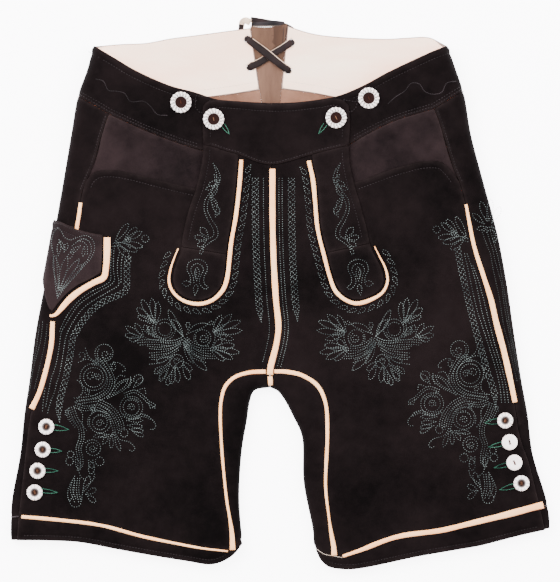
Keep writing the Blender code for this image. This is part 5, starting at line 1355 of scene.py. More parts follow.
PROFILES = {  # part of the radius, part of the height, carved row, stain
    "beaded": ((0.78, 0.0, 0, 0), (0.92, 0.12, 0, 0), (0.99, 0.34, 1, 0), (1.0, 0.5, 1, 0),
        (0.985, 0.68, 1, 0), (0.94, 0.84, 1, 0), (0.88, 0.92, 1, 0), (0.82, 0.90, 1, 0),
        (0.775, 0.84, 2, 0.1), (0.72, 0.88, 2, 0), (0.66, 0.90, 2, 0), (0.625, 0.86, 2, 0),
        (0.59, 0.76, 0, 0.3), (0.565, 0.6, 0, 0.85), (0.535, 0.5, 0, 1), (0.36, 0.42, 0, 1),
        (0.22, 0.38, 0, 1), (0.08, 0.36, 0, 1)),
    "grooved": ((0.78, 0.0, 0, 0), (0.93, 0.14, 0, 0), (1.0, 0.38, 1, 0), (0.99, 0.6, 1, 0),
        (0.93, 0.82, 1, 0), (0.84, 0.95, 1, 0), (0.74, 1.0, 1, 0), (0.66, 0.99, 1, 0.02),
        (0.58, 0.92, 0, 0.2), (0.53, 0.8, 0, 0.7), (0.48, 0.66, 0, 0.92), (0.40, 0.58, 0, 0.95),
        (0.30, 0.55, 0, 1), (0.14, 0.54, 0, 1), (0.05, 0.54, 0, 1)),
    "plain": ((0.78, 0.0, 0, 0), (0.93, 0.14, 0, 0), (1.0, 0.38, 0, 0), (0.99, 0.6, 0, 0),
        (0.93, 0.78, 0, 0), (0.84, 0.88, 0, 0), (0.7, 0.92, 0, 0), (0.5, 0.9, 0, 0), (0.3, 0.87, 0, 0),
        (0.12, 0.85, 0, 0)),
}


def button(name, x, y, across, above, kind):
    """A turned disc, its rim carved and the gaps of its carving painted dark as shade, over a middle that
    is sunk and stained.
    """
    base, n, _, _ = form([(x, y)], "top")
    base, n = base[0], n[0]
    u = np.cross([0, 1, 0], n)
    u /= np.linalg.norm(u)
    w = np.cross(n, u)
    r = across / 2 * (0.955 if kind == "beaded" else 0.93)
    V, stain_and_shade = [], []
    for push, z, carve, deep in (row for row in PROFILES[kind] for _ in range(AROUND)):
        a = 2 * math.pi * (len(V) % AROUND) / AROUND
        if kind == "beaded" and carve:
            wave = abs(math.cos(BEADS / 2 * a + (math.pi / 4 if carve == 2 else 0)))
            z += 0.2 * wave - 0.1
            push += (0.03 * wave - 0.02) if carve == 1 else 0
            # the gaps between the beads are painted dark: painted shade
            deep = max(deep, (0.75 if carve == 1 else 1.0) * (1 - wave) ** 0.7)
        elif kind == "grooved" and carve:
            groove = max(0.0, math.cos(GROOVES * a))
            z -= 0.12 * groove ** 6
            push -= 0.012 * groove ** 4
            # the grooves are painted dark: painted shade
            deep = max(deep, 0.7 * groove ** 5)
        V.append(base + n * (above + z * BUTTON_THICK) + (u * math.cos(a) + w * math.sin(a)) * push * r)
        stain_and_shade.append(deep)
    last, faces = len(V) - AROUND, []
    for k in range(0, last, AROUND):
        for i in range(AROUND):
            a, b = k + i, k + (i + 1) % AROUND
            faces.append((a, b, b + AROUND, a + AROUND))
    faces += [tuple(range(AROUND))[::-1], tuple(range(last, last + AROUND))]
    piece = put(name + "_horn", V, faces, HORN)
    mark_stain_and_shade = piece.data.attributes.new("stain_and_shade", "FLOAT", "POINT")
    mark_stain_and_shade.data.foreach_set("value", np.array(stain_and_shade, np.float32))
    return piece


for name, x, y, across, layer in BUTTONS:
    kind = "beaded" if "leg" not in name else "plain" if name in PLAIN_BUTTONS else "grooved"
    dress(button(name, x, y, across, layer + SEAM, kind), name)


# ---------------------------------------------------------------- seam stitching
# Tone-on-tone thread in the seams: double rows along the waistband, single rows inside every
# rolled edge, and a pale row along the lining. Each row follows the same line as its cut.
def stitch_rows(name):
    """Rows of stitches along lines: one little thread lens at each step, lying on the leather."""
    tree = bpy.data.node_groups.new(name, "GeometryNodeTree")
    tree.interface.new_socket("Lines", in_out="INPUT", socket_type="NodeSocketGeometry")
    for label, kind in (("Step", "Float"), ("Long", "Float"), ("Wide", "Float"), ("High", "Float"),
                        ("Turn", "Float"), ("Stray", "Float"), ("Seed", "Int"), ("Thread", "Material")):
        tree.interface.new_socket(label, in_out="INPUT", socket_type="NodeSocket" + kind)
    tree.interface.new_socket("Stitches", in_out="OUTPUT", socket_type="NodeSocketGeometry")
    given, result = node(tree, "NodeGroupInput").outputs, node(tree, "NodeGroupOutput")

    def add(kind, *wires, out=0, **settings):
        return node(tree, kind, wires, **settings).outputs[out]

    curve = add("GeometryNodeMeshToCurve", ("Mesh", given["Lines"]))
    steps = add("GeometryNodeResampleCurve", ("Curve", curve), ("Length", given["Step"]), mode="LENGTH")
    outward = add("GeometryNodeInputNamedAttribute", ("Name", "outward"), out="Attribute",
                  data_type="FLOAT_VECTOR")
    along = add("FunctionNodeAlignRotationToVector", ("Vector", add("GeometryNodeInputTangent")), axis="X")
    upright = add("FunctionNodeAlignRotationToVector", ("Rotation", along), ("Vector", outward),
                  axis="Z", pivot_axis="X")
    low = add("ShaderNodeMath", (0, given["Stray"]), (1, -1.0), operation="MULTIPLY")
    stray = add("FunctionNodeRandomValue", ("Seed", given["Seed"]), (2, low), (3, given["Stray"]), out=1,
                data_type="FLOAT")
    turn = add("ShaderNodeMath", (0, given["Turn"]), (1, stray), operation="ADD")
    spin = add("FunctionNodeEulerToRotation", (0, add("ShaderNodeCombineXYZ", ("Z", turn))))
    placed = add("FunctionNodeRotateRotation", (0, upright), (1, spin), rotation_space="LOCAL")
    size = add("ShaderNodeCombineXYZ", ("X", given["Long"]), ("Y", given["Wide"]), ("Z", given["High"]))
    ball = add("GeometryNodeMeshIcoSphere", ("Radius", 0.5), ("Subdivisions", 1))
    sewn = add("GeometryNodeInstanceOnPoints", ("Points", steps), ("Rotation", placed), ("Scale", size),
               ("Instance", add("GeometryNodeSetShadeSmooth", ("Geometry", ball))))
    spun = add("GeometryNodeSetMaterial", ("Geometry", add("GeometryNodeRealizeInstances", (0, sewn))),
               ("Material", given["Thread"]))
    wire(tree, result, [(0, spun)])
    return tree


STITCHES = stitch_rows("stitch_rows")


def on_leather(line, above=0.0, side="top", level=None):
    """A line in the plane laid on the leather: its points, and the way out of the leather there."""
    line = np.asarray(line, float)
    base, n, d, r = form(line, side)
    off = np.full(len(line), float(above)) if level is None else above + level(line, d, r)
    return base + n * off[:, None], n


def sew(name, runs, thread, step, long, wide, high, turn=0.0, stray=0.1, seed=1):
    """Sews stitches along runs of (points, outward) and leaves them as one plain mesh."""
    points, out, edges = [], [], []
    for p, n in runs:
        edges += [(len(points) + i, len(points) + i + 1) for i in range(len(p) - 1)]
        points += [tuple(q / 1000) for q in p]
        out += [tuple(q) for q in n]
    mesh = bpy.data.meshes.new(name)
    mesh.from_pydata(points, edges, [])
    way = mesh.attributes.new("outward", "FLOAT_VECTOR", "POINT")
    way.data.foreach_set("vector", np.array(out, np.float32).ravel())
    piece = bpy.data.objects.new(name, mesh)
    bpy.context.scene.collection.objects.link(piece)
    rows = piece.modifiers.new("rows", "NODES")
    rows.node_group = STITCHES
    given = {"Step": step / 1000, "Long": long / 1000, "Wide": wide / 1000, "High": high / 1000,
             "Turn": turn, "Stray": stray, "Seed": seed, "Thread": thread}
    for socket in STITCHES.interface.items_tree:
        if socket.name in given:
            rows[socket.identifier] = given[socket.name]
    bpy.context.view_layer.update()
    seen = piece.evaluated_get(bpy.context.evaluated_depsgraph_get())
    sewn = bpy.data.meshes.new_from_object(seen)
    piece.modifiers.remove(rows)
    piece.data = sewn
    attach(piece, "root")
    return piece


def yarn(name, deep, pale, rough=0.55, sheen=0.3):
    """Thread: the same soft material with a finer grain."""
    return hide(name, deep, pale, rough=rough, sheen=sheen, cloud=60.0, mottle=400.0, nap=2500.0,
                raise_mm=0.05, shine=0.12)


def beside(line, off):
    """The line drawn again at a distance, on its left where the distance is positive."""
    line = np.asarray(line, float)
    t = np.gradient(line, axis=0)
    t /= np.maximum(np.linalg.norm(t, axis=1), 1e-9)[:, None]
    return line + np.stack([-t[:, 1], t[:, 0]], axis=1) * off


def turned(p, way):
    """Points turned about the origin by an angle in degrees."""
    a = math.radians(way)
    return np.asarray(p, float) @ np.array([[math.cos(a), math.sin(a)], [-math.sin(a), math.cos(a)]])


def laid_on(piece, lines, above=0.12):
    """Lines in the plane dropped straight down on a finished piece, for stitches through it."""
    mesh = piece.data
    tree = BVHTree.FromPolygons([v.co for v in mesh.vertices], [list(f.vertices) for f in mesh.polygons])
    runs = []
    for line in lines:
        points, out = [], []
        for x, y in line:
            place, normal, _, _ = tree.ray_cast(Vector((x / 1000, y / 1000, 0.1)), Vector((0, 0, -1)))
            if place is not None:
                points.append(np.array(place) * 1000 + np.array(normal) * above)
                out.append(np.array(normal))
        if len(points) > 2:
            runs.append((np.array(points), np.array(out)))
    return runs


def rows_beside(table, way, side="top"):
    """Rows beside lines: (line, distance, points left out at its start and end, height)."""
    return [on_leather(beside(spline(line), off * way)[first:-final or None], above, side)
            for line, off, (first, final), above in table]


DARK_THREAD = yarn("dark_thread", (20, 17, 18), (48, 42, 44))
PALE_THREAD = yarn("pale_thread", (196, 176, 160), (232, 216, 200))
SEAM_DIP = -0.3                # the rows sink this far into the leather
dark_rows, under_rows, pale_rows = [], [], []
for k, side in enumerate(SIDES):
    c, way = C[side], (1 if side == "right" else -1)
    seam = spline(np.vstack([c["front_seam_outer"][0], c["front_seam"][0][1:]]))
    for line, off in (*((seam, row) for row in BAND_ROWS), (spline(c["front_top"][0]), -BAND_ROLL)):
        row = beside(line, off * way)
        dark_rows.append(on_leather(row[np.abs(row[:, 0] - MIDDLE_X) > FLAP_HALF + 2], SEAM_DIP))
    dark_rows += rows_beside(((POCKET_MOUTHS[k], -7.8, (4, 7), SEAM_DIP),
                              (c["side_upper"][0], -2.8, (3, 0), -0.1),
                              (STRIPS[side]["outer"], STRIP_ROLL + 0.1, (2, 2), FLAP_UP + SEAM_DIP),
                              (c["foot_front"][0], HEM_ROLL, (6, 8), -0.1)), way)
    under_rows += rows_beside(((c["back_seam"][0], -3.0, (4, 3), -0.15),
                               (c["centre_back"][0], 3.0, (4, 8), -0.15),
                               (c["foot_back"][0], HEM_ROLL, (6, 8), -0.1)), way, "bottom")
    pale_rows += rows_beside(((c["back_seam"][0], 9.0, (10, 4), -(BAND_T + SEAM + LINING_T) - 0.05),), way,
                             "bottom")
dark_rows.append(on_leather(beside(rim_line, -FLAP_ROLL)[2:-2], FLAP_UP + SEAM_DIP))
dark_rows += rows_beside(((FLAP_LOW, FLAP_ROW, (3, 3), FLAP_UP + SEAM_DIP),), 1)
sew("dark_seam_stitches", dark_rows, DARK_THREAD, 3.2, 2.3, 0.75, 0.6, seed=3)
sew("back_seam_stitches", under_rows, DARK_THREAD, 3.2, 2.3, 0.75, 0.5, seed=4)
sew("lining_stitches", pale_rows, PALE_THREAD, 3.4, 2.4, 0.6, 0.5, seed=5)


def level_run(line, z):
    """A line held level at one height, for stitches that bridge from one piece to the next."""
    line = np.asarray(line, float)
    return np.column_stack([line, np.full(len(line), z)]), np.tile((0.0, 0.0, 1.0), (len(line), 1))


# the gusset's top is overcast in dark thread over its pinked edge, its turned side whipped down,
# and its two long edges sewn to the band
SEAM_THREAD = yarn("brown_seam_thread", (70, 46, 38), (116, 82, 66))
overcast = []
for points, count, gap, high in (
        (((-29.7, 301.3), (-18.7, 301.6), (-7.7, 301.8), (4.0, 301.7)), 5, 0.85, 2.3),
        (((-11.0, 302.7), (-2.2, 303.1), (5.1, 302.0)), 3, 0.8, 2.4)):
    overcast += [level_run(spline(points, 0.6) - (0, gap * k), high) for k in range(count)]
sew("gusset_overcast", overcast, DARK_THREAD, 0.8, 2.4, 1.8, 1.1, turn=1.2, stray=0.25, seed=6)
teeth = [level_run(spline([(-30.1, 297.4), (-18.7, 297.7), (-7.7, 297.9), (3.1, 298.0)], 0.6), 3.1)]
sew("gusset_teeth", teeth, PALE_THREAD, 2.5, 1.6, 0.9, 0.6, turn=1.4, stray=0.25, seed=7)
turned_edge = [[(5.5, 296.5), (5.1, 288.8), (4.4, 280.0)], [(8.1, 295.4), (7.6, 288.8), (6.8, 281.1)]]
whipped = laid_on(gusset, [spline(line) for line in turned_edge], 0.2)
sew("gusset_whipping", whipped, DARK_THREAD, 1.5, 1.9, 0.9, 0.5, turn=0.2, stray=0.4, seed=8)
edges = [level_run(spline(C[side][part][0]), 1.3) for side in SIDES
         for part in ("gusset_upper", "gusset_lower")]
sew("gusset_seam_stitches", edges, SEAM_THREAD, 2.2, 2.6, 1.2, 0.7, seed=12)
joins = [level_run(spline(C[side]["back_seam"][0]), 1.6) for side in SIDES]
sew("back_band_stitches", joins, SEAM_THREAD, 2.4, 2.9, 1.2, 0.8, seed=13)
# the slots for the lace are bound with close stitches, and two rings of dark thread set down inside each
# slot are painted shade in the hole
bindings_and_hole_shade = []
for name, x, y, way in LACE_HOLES:
    a = np.linspace(0, 2 * np.pi, 40)
    ring = np.column_stack([np.cos(a), np.sin(a)])
    lining = linings["right" if name in ("hole_1", "hole_3") else "left"]
    rim = laid_on(lining, [turned(ring * (2.5, 3.9), way) + (x, y)], 0.2)
    down = rim[0][0][:, 2].mean() - 0.7
    # the two inner rings lie down in the slot, dark thread standing in for its shade
    bindings_and_hole_shade += rim + [level_run(turned(ring * size, way) + (x, y), down)
                       for size in ((1.8, 3.1), (1.1, 2.1))]
sew("slot_bindings_and_hole_shade", bindings_and_hole_shade, DARK_THREAD, 0.7, 2.0, 1.0, 0.9, turn=1.45, stray=0.2, seed=14)
# the hem seams are oversewn in dark thread where they pass round the side folds, the thread also standing
# in for the shade in the seam's gap there, and the edge of the wearer's left hem piping shows as a thin
# pale line up to the inner fold
turns = [on_leather(spline([mark("hem_fold", side), mark("hem_slit", side)], 0.8), -0.4) for side in SIDES]
sew("hem_turn_stitches_and_shade", turns, DARK_THREAD, 0.9, 1.9, 1.4, 1.0, turn=1.4, stray=0.2, seed=16)
edge_line = spline([(68.9, -286.6), *C["left"]["hem_wrap"][0]], 0.8)
sew("hem_piping_edge", [on_leather(edge_line, 0.05)], PALE_THREAD, 2.0, 2.4, 0.55, 0.5, seed=17)
# raised seams curve over the front of the band: two layers drawn together in tone-on-tone thread
BAND_WAVES = {
    "right": ((-200.2, 238.2), (-192.5, 236.0), (-187.0, 226.1), (-178.2, 225.0), (-169.4, 222.8),
        (-162.8, 214.0), (-148.5, 214.0), (-141.9, 209.6), (-133.1, 199.7), (-123.2, 198.6)),
    "left": ((193.6, 236.0), (183.7, 233.8), (178.2, 223.9), (168.3, 221.7), (159.5, 225.0), (154.0, 232.7),
        (145.2, 233.8), (137.5, 225.0), (128.7, 219.5), (119.9, 211.8)),
}
waves = [on_leather(spline(BAND_WAVES[side]), -0.1) for side in SIDES]
sew("band_wave_stitches", waves, DARK_THREAD, 1.9, 2.2, 1.1, 0.9, stray=0.1, seed=9)
# the knife pocket's mouth is hemmed with two rows
knife_rows = [beside(spline(KNIFE["mouth"]), -off)[2:-2] for off in (2.4, MOUTH_HEM)]
sew("knife_pocket_stitches", laid_on(knife, knife_rows), DARK_THREAD, 2.6, 1.9, 0.75, 0.6, seed=10)


# ---------------------------------------------------------------- embroidery
# Back stitch in grey-green thread, the old trade's leaves, curls and stems: a bouquet on each thigh, a
# scroll over each knee, a vine on the flap and borders beside the piping, one side mirroring the other.
def leaf(x, y, way, long, wide, bend=0.0):
    """A leaf's outline from its foot, bent to the left where bend is positive."""
    t = np.concatenate([np.linspace(0, 1, 13), np.linspace(1, 0, 13)[1:]])
    sign = np.concatenate([np.ones(13), -np.ones(12)])
    half = sign * 0.5 * wide * np.abs(np.sin(np.pi * t ** 1.5)) ** 0.7
    return [turned(np.column_stack([long * t, half + bend * long * t * t]), way) + (x, y)]


def stem(*points):
    """A single row along a bent line."""
    return [spline(points, 1.2)]


def rows(count, gap, *points):
    """A stem worked in several rows side by side, each a little shorter than the last."""
    line = spline(points, 1.2)
    return [beside(line, gap * (i - (count - 1) / 2))[: len(line) - 2 * i] for i in range(count)]


def curl(x, y, start, radius, turns, inner=0.3):
    """A coil drawn from outside in; start is the way from its middle to where it begins."""
    t = np.linspace(0, 1, max(10, int(abs(turns) * 22)))
    a = np.radians(start) + 2 * np.pi * turns * t
    r = radius * (1 - (1 - inner) * t)
    return [np.column_stack([x + r * np.cos(a), y + r * np.sin(a)])]


def braid(line, step, wide):
    """Three threads that cross one another along a line, all drawn to a point at its lower end."""
    s = np.arange(0, lengths(line)[-1], 0.8)
    mid = at(line, s)
    t = np.gradient(mid, axis=0)
    t /= np.linalg.norm(t, axis=1)[:, None]
    out = np.stack([-t[:, 1], t[:, 0]], axis=1)
    swell = 0.5 * wide * np.clip((s[-1] - s) / 14.0, 0.0, 1.0)
    return [mid + out * (swell * np.sin(np.pi * s / step + turn))[:, None] for turn in (0.0, 2.09, 4.19)]


def link_chain(line, step, long, wide, lean):
    """A border of slanted links along a line."""
    along, out = lengths(line), []
    for s in np.arange(step / 2, along[-1] - step / 2, step):
        p = at(line, s)
        t = at(line, min(s + 1, along[-1])) - at(line, max(s - 1, 0))
        way = math.degrees(math.atan2(t[1], t[0])) + lean
        foot = p - turned([(long / 2, 0)], way)[0]
        out += leaf(*foot, way, long, wide)
    return out


MOTIFS = {"leaf": leaf, "stem": stem, "rows": rows, "curl": curl}


def drawn(table, x, y, flip=1, turn=0.0, scale=1.1):
    """The lines of a motif, set at its place and mirrored for the other side."""
    out = []
    for kind, *numbers in table:
        for line in MOTIFS[kind](*numbers):
            out.append(turned(line * (scale * flip, scale), turn) + (x, y))
    return out


# Each row names its kind of line. A leaf has x, y, way, long, wide, bend, a curl has x, y, start,
# radius, turns, inner, a stem has its points, and rows have a count and a gap before them.
BOUQUET = (
    ("leaf", -1, 1, 124, 30, 6, -0.1), ("leaf", -1, 2, 118, 19, 7, 0.16), ("leaf", 4, 8, 88, 7, 4),
    ("leaf", 3, 3, 44, 22, 6, -0.3), ("leaf", 24, 13, 20, 6, 3.4), ("curl", -19, 8, 300, 11, 1.1, 0.8),
    ("curl", -19, 8, 130, 7, -0.9, 0.9), ("leaf", -29, 1, 126, 12, 4), ("leaf", -29, 0, 134, 12, 3),
    ("leaf", -35, 3, 116, 10, 5), ("leaf", -30, 15, 118, 26, 6), ("leaf", -29, 15, 97, 24, 6),
    ("leaf", -28, 13, 78, 22, 6, 0.1), ("leaf", -31, 16, 141, 21, 6), ("leaf", -31, 16, 162, 16, 5),
    ("curl", -34, 17, 0, 5, 1.2, 0.4), ("stem", (-27, 1), (-31, 8), (-30, 16)),
    ("stem", (-42, 2), (-35, -2), (-26, -3)), ("leaf", -41, 0, 148, 20, 5.5), ("leaf", -40, 1, 124, 15, 5),
    ("leaf", -43, 0, 172, 16, 5), ("leaf", -44, -1, 192, 10, 5), ("curl", 19, -1, 200, 9, -1.1, 0.8),
    ("curl", 20, -1, 60, 5, -1.5, 0.3), ("rows", 2, 2.2, (0, 0), (-8, -4), (-18, -4), (-27, -1)),
    ("rows", 3, 2.4, (-2, -3), (-12, -6), (-26, -5), (-40, -5), (-48, -6)),
    ("rows", 2, 2.2, (-3, -6), (-14, -10), (-26, -11), (-36, -10)),
    ("rows", 2, 2.4, (-4, -8), (-14, -14), (-24, -16), (-34, -17)),
    ("rows", 2, 2.2, (-6, -12), (-16, -18), (-26, -21), (-34, -21)),
    ("stem", (-12, -19), (-22, -25), (-34, -27)), ("stem", (-9, -18), (-18, -28), (-26, -34)),
    ("rows", 3, 2.3, (2, -2), (9, -8), (19, -11), (29, -11)),
    ("rows", 3, 2.4, (2, -4), (9, -13), (19, -18), (31, -19)),
    ("rows", 2, 2.4, (1, -6), (7, -17), (15, -22), (22, -24)), ("leaf", 1, -7, -58, 34, 7, 0.14),
    ("leaf", 0, -8, -68, 20, 5, 0.1), ("stem", (28, -10), (31, -2), (31, 5)), ("leaf", 30, 5, 45, 25, 6),
    ("leaf", 31, 6, 22, 28, 6), ("leaf", 29, 6, 62, 18, 5), ("leaf", 31, 4, 6, 27, 6),
    ("leaf", 32, 2, -14, 18, 5), ("leaf", 30, 5, 36, 13, 4), ("curl", 39, 1, 150, 4, -1.2, 0.5),
    ("leaf", 29, -10, 40, 12, 5), ("leaf", 30, -10, 6, 21, 6), ("leaf", 30, -11, -10, 26, 6),
    ("leaf", 29, -12, -26, 22, 6), ("leaf", 27, -13, -38, 17, 5), ("leaf", 30, -11, -4, 13, 4),
    ("curl", -7, -24, 90, 7, 1.0, 0.98), ("curl", -7, -24, 0, 3.5, 1.3, 0.5),
    ("leaf", -14, -20, 200, 14, 5), ("leaf", -9, -29, 258, 18, 6), ("leaf", -8, -28, 278, 17, 6),
    ("leaf", -14, -27, 236, 18, 6), ("leaf", -1, -26, 292, 18, 6), ("leaf", -17, -32, 240, 14, 5),
    ("leaf", -12, -35, 250, 14, 5), ("leaf", -2, -24, 318, 14, 5), ("leaf", -22, -29, 226, 10, 5),
)
SCROLL = (
    ("curl", 0, 47, 235, 10, -1.25, 0.7), ("curl", 1, 46, 0, 5, -1.2, 0.3), ("leaf", 9, 38, 270, 8, 4),
    ("rows", 2, 2.6, (-8, 41), (-1, 33), (4, 24), (2, 12), (-7, 5), (-20, 2), (-30, 1)),
    ("rows", 2, 2.6, (-3, 42), (5, 30), (9, 18), (4, 7), (-6, 1), (-18, -1), (-29, -3)),
    ("stem", (6, 36), (12, 38), (19, 34), (21, 30), (18, 29)), ("stem", (-19, 52), (-16, 44), (-9, 38)),
    ("curl", -23, 45, 300, 4, 0.8, 0.5), ("stem", (-26, 38), (-18, 41), (-9, 38)),
    ("leaf", -12, 39, 320, 6, 3), ("curl", -11, 23, 60, 14, 1.1, 0.9),
    ("curl", -11, 23, 120, 10, 1.0, 0.98), ("curl", -14, 24, 0, 5, 1.1, 0.3),
    ("curl", -7, 23, 180, 4, -1.3, 0.3), ("stem", (-27, 20), (-23, 16), (-22, 8), (-27, 2)),
    ("curl", -17, 8, 90, 3, 1.0, 0.5), ("stem", (10, 18), (15, 25), (20, 24)),
    ("leaf", 3, 2, 44, 30, 9, -0.08), ("leaf", 8, 6, 42, 20, 5), ("curl", 34, 21, 200, 5, -0.9, 0.8),
    ("stem", (24, 13), (27, 19), (26, 23)), ("leaf", 29, 13, 46, 13, 5),
    ("curl", 27, -7, 110, 12, 1.0, 0.9), ("curl", 27, -7, 40, 9, 1.2, 0.8),
    ("curl", 27, -7, 200, 4, -1.4, 0.3),
    ("rows", 2, 2.4, (20, 6), (30, 9), (38, 4), (44, -2), (48, -4), (51, -7)),
    ("stem", (33, 10), (40, 12), (41, 7)), ("stem", (44, -3), (46, -8), (50, -6)),
    ("rows", 2, 2.4, (18, -15), (28, -18), (38, -15), (46, -18)),
    ("stem", (38, -14), (46, -18), (51, -25), (49, -29), (46, -29)), ("leaf", 22, -20, 0, 16, 4),
    ("leaf", 23, -25, -4, 15, 4), ("leaf", 25, -29, -8, 14, 4), ("leaf", 28, -31, -24, 12, 4),
    ("curl", 19, -33, 140, 5, -1.0, 0.6), ("curl", -5, -22, 200, 12, -1.1, 0.85),
    ("curl", -5, -22, 100, 8, -1.1, 0.85), ("curl", -5, -23, 0, 4, 1.3, 0.3), ("leaf", -15, -6, 320, 7, 3),
    ("leaf", -10, -5, 250, 7, 3),
    ("rows", 3, 2.4, (-29, -5), (-20, -8), (-8, -7), (3, -13), (9, -24), (11, -34)),
    ("rows", 3, 2.4, (-6, -1), (5, -7), (13, -16), (17, -27), (16, -33)),
    ("stem", (10, -32), (15, -39), (25, -42), (30, -48), (28, -51), (25, -50)),
    ("stem", (-26, -8), (-22, -14), (-22, -24), (-18, -30)), ("leaf", 2, -34, 190, 13, 4),
    ("leaf", 4, -34, 240, 11, 4), ("leaf", 7, -34, 268, 14, 4), ("leaf", 10, -35, 290, 16, 4),
    ("stem", (-6, -36), (2, -37), (8, -34)),
    ("rows", 3, 2.4, (-33, -7), (-29, -18), (-24, -27), (-23, -38), (-26, -48), (-24, -60), (-25, -70)),
    ("rows", 2, 2.2, (-38, -10), (-35, -18), (-29, -26)), ("leaf", -36, -8, 250, 8, 3),
    ("curl", -12, -48, 140, 9, -1.3, 0.6), ("curl", -12, -48, 0, 4, -1.4, 0.3),
    ("curl", -34, -54, 0, 3.5, 1.0, 0.9), ("curl", -35, -61, 0, 4, 1.0, 0.9),
    ("leaf", -29, -57, 290, 13, 5), ("leaf", -16, -60, 300, 9, 5), ("curl", -5, -61, 90, 4.5, 1.0, 0.9),
    ("leaf", -12, -60, 262, 14, 6), ("stem", (-26, -70), (-24, -76), (-19, -80)),
    ("leaf", -30, -76, 252, 25, 6, 0.1), ("rows", 2, 2.4, (-31, -80), (-33, -90), (-29, -101)),
    ("rows", 2, 2.4, (-26, -78), (-27, -90), (-25, -101)), ("leaf", -22, -92, 62, 18, 6, 0.1),
    ("leaf", -19, -94, 28, 12, 5), ("leaf", -18, -94, 318, 12, 5),
    ("stem", (-23, -99), (-21, -88), (-12, -80), (-10, -74)), ("curl", -29, -101, 180, 6, 0.5, 0.9),
)
STRIP_VINE = (
    ("stem", (-1, 43), (4, 36), (6, 27), (2, 18), (-5, 8), (-7, -2), (-3, -12), (3, -22), (3, -30),
        (-5, -36), (-12, -42)),
    ("stem", (-1, 43), (2, 34), (2, 26), (-2, 17), (-9, 7), (-10, -3), (-6, -14), (-1, -23), (-1, -29),
        (-8, -33)),
    ("leaf", 5, 26, 205, 12, 5), ("leaf", 2, 21, 200, 11, 4), ("leaf", 3, 24, 250, 14, 5),
    ("leaf", -4, 11, 300, 13, 5), ("leaf", -3, 9, 290, 18, 5, 0.1), ("leaf", 1, -10, 66, 10, 4),
    ("leaf", -6, -30, 130, 12, 6), ("leaf", -8, -32, 170, 12, 5), ("leaf", -8, -34, 210, 10, 5),
    ("leaf", -11, -40, 250, 8, 3), ("leaf", 0, 32, 300, 9, 4),
)
TONGUE_ARCH = (  # the vine's foot on the rounded end of the strip
    ("stem", (-15, -8), (-11, -11), (-7, -9), (-7, 0), (-10, 6), (-9, 13), (-3, 17), (4, 17), (10, 13),
        (11, 6), (8, 0), (8, -8), (12, -12), (9, -14), (6, -12)),
    ("stem", (-15, -8), (-12, -5), (-8, -6)),
    ("stem", (-3, -7), (-4, 0), (-6, 6), (-4, 11), (1, 13), (6, 10), (7, 5), (4, 0), (3, -8), (6, -12)),
    ("leaf", 0, -5, 88, 14, 5), ("leaf", -2, -20, 82, 11, 5), ("leaf", -1, -1, 90, 7, 2),
)
KNIFE_HEART = (
    ("stem", (-9, -34), (-11, -20), (-12, -5), (-13, 10), (-15, 22), (-12, 32), (-8, 36), (-4, 31),
        (-1, 26), (3, 24)),
    ("stem", (-9, -34), (-8, -20), (-9, -5), (-10, 8)),
    ("stem", (-9, -34), (2, -20), (14, -6), (24, 5), (28, 14), (27, 23), (21, 28), (13, 27), (5, 24)),
    ("stem", (-8, -31), (3, -17), (15, -3), (23, 7), (25, 15), (23, 22), (17, 25), (11, 22), (6, 18)),
    ("stem", (12, 23), (17, 22), (21, 17), (21, 10)), ("leaf", -8, -26, 94, 34, 6, 0.04),
    ("leaf", -7, -26, 80, 34, 6, -0.06), ("leaf", -6, -26, 64, 36, 6, -0.1),
    ("leaf", -5, -26, 54, 34, 5, -0.08), ("leaf", -8, 8, 84, 14, 4), ("leaf", -2, 12, 70, 9, 4),
    ("leaf", 14, 18, 215, 12, 4), ("leaf", 18, 17, 262, 9, 3), ("leaf", 8, 14, 235, 11, 4),
    ("leaf", -7, 24, 300, 11, 3),
)
LEAF_TOP = (  # the fan of leaves that ends the border at its upper corner
    ("leaf", 0, 1, 62, 24, 5.5), ("leaf", 9, 4, 54, 19, 5.5), ("leaf", 9, 4, 35, 20, 5.5),
    ("curl", 30, 9, 0, 3.6, 1.0, 0.95), ("leaf", 8, 3, -6, 21, 5.5), ("leaf", 2, 2, -17, 23, 6),
    ("leaf", 2, 0, -38, 18, 6), ("stem", (-1, 0), (8, 2), (16, -2)), ("stem", (-1, -3), (6, -2), (12, -6)),
    ("curl", 14, 5, 60, 3, 1.1, 0.4),
)
EMBROIDERY_THREAD = yarn("grey_green_thread", (50, 57, 58), (112, 121, 119), rough=0.5, sheen=0.1)
WORN_THREAD = yarn("worn_thread", (36, 40, 41), (78, 84, 83), rough=0.6, sheen=0.1)
MIRROR = 0.55        # the x of the line that the two sides mirror about
DOTS = dict(step=2.5, long=1.25, wide=0.78, high=0.6, stray=0.2)     # a back stitch seen as a bead
LONGER_DOTS = {**DOTS, "step": 2.8, "long": 1.5}


def laid(lines, above=0.12):
    """Lines of stitches on the leather, or on what lies this far above it."""
    return [on_leather(line, above) for line in lines if len(line) > 2]


def mirrored(x, side):
    """The same place on the other side."""
    return x if side == "right" else 2 * MIRROR - x


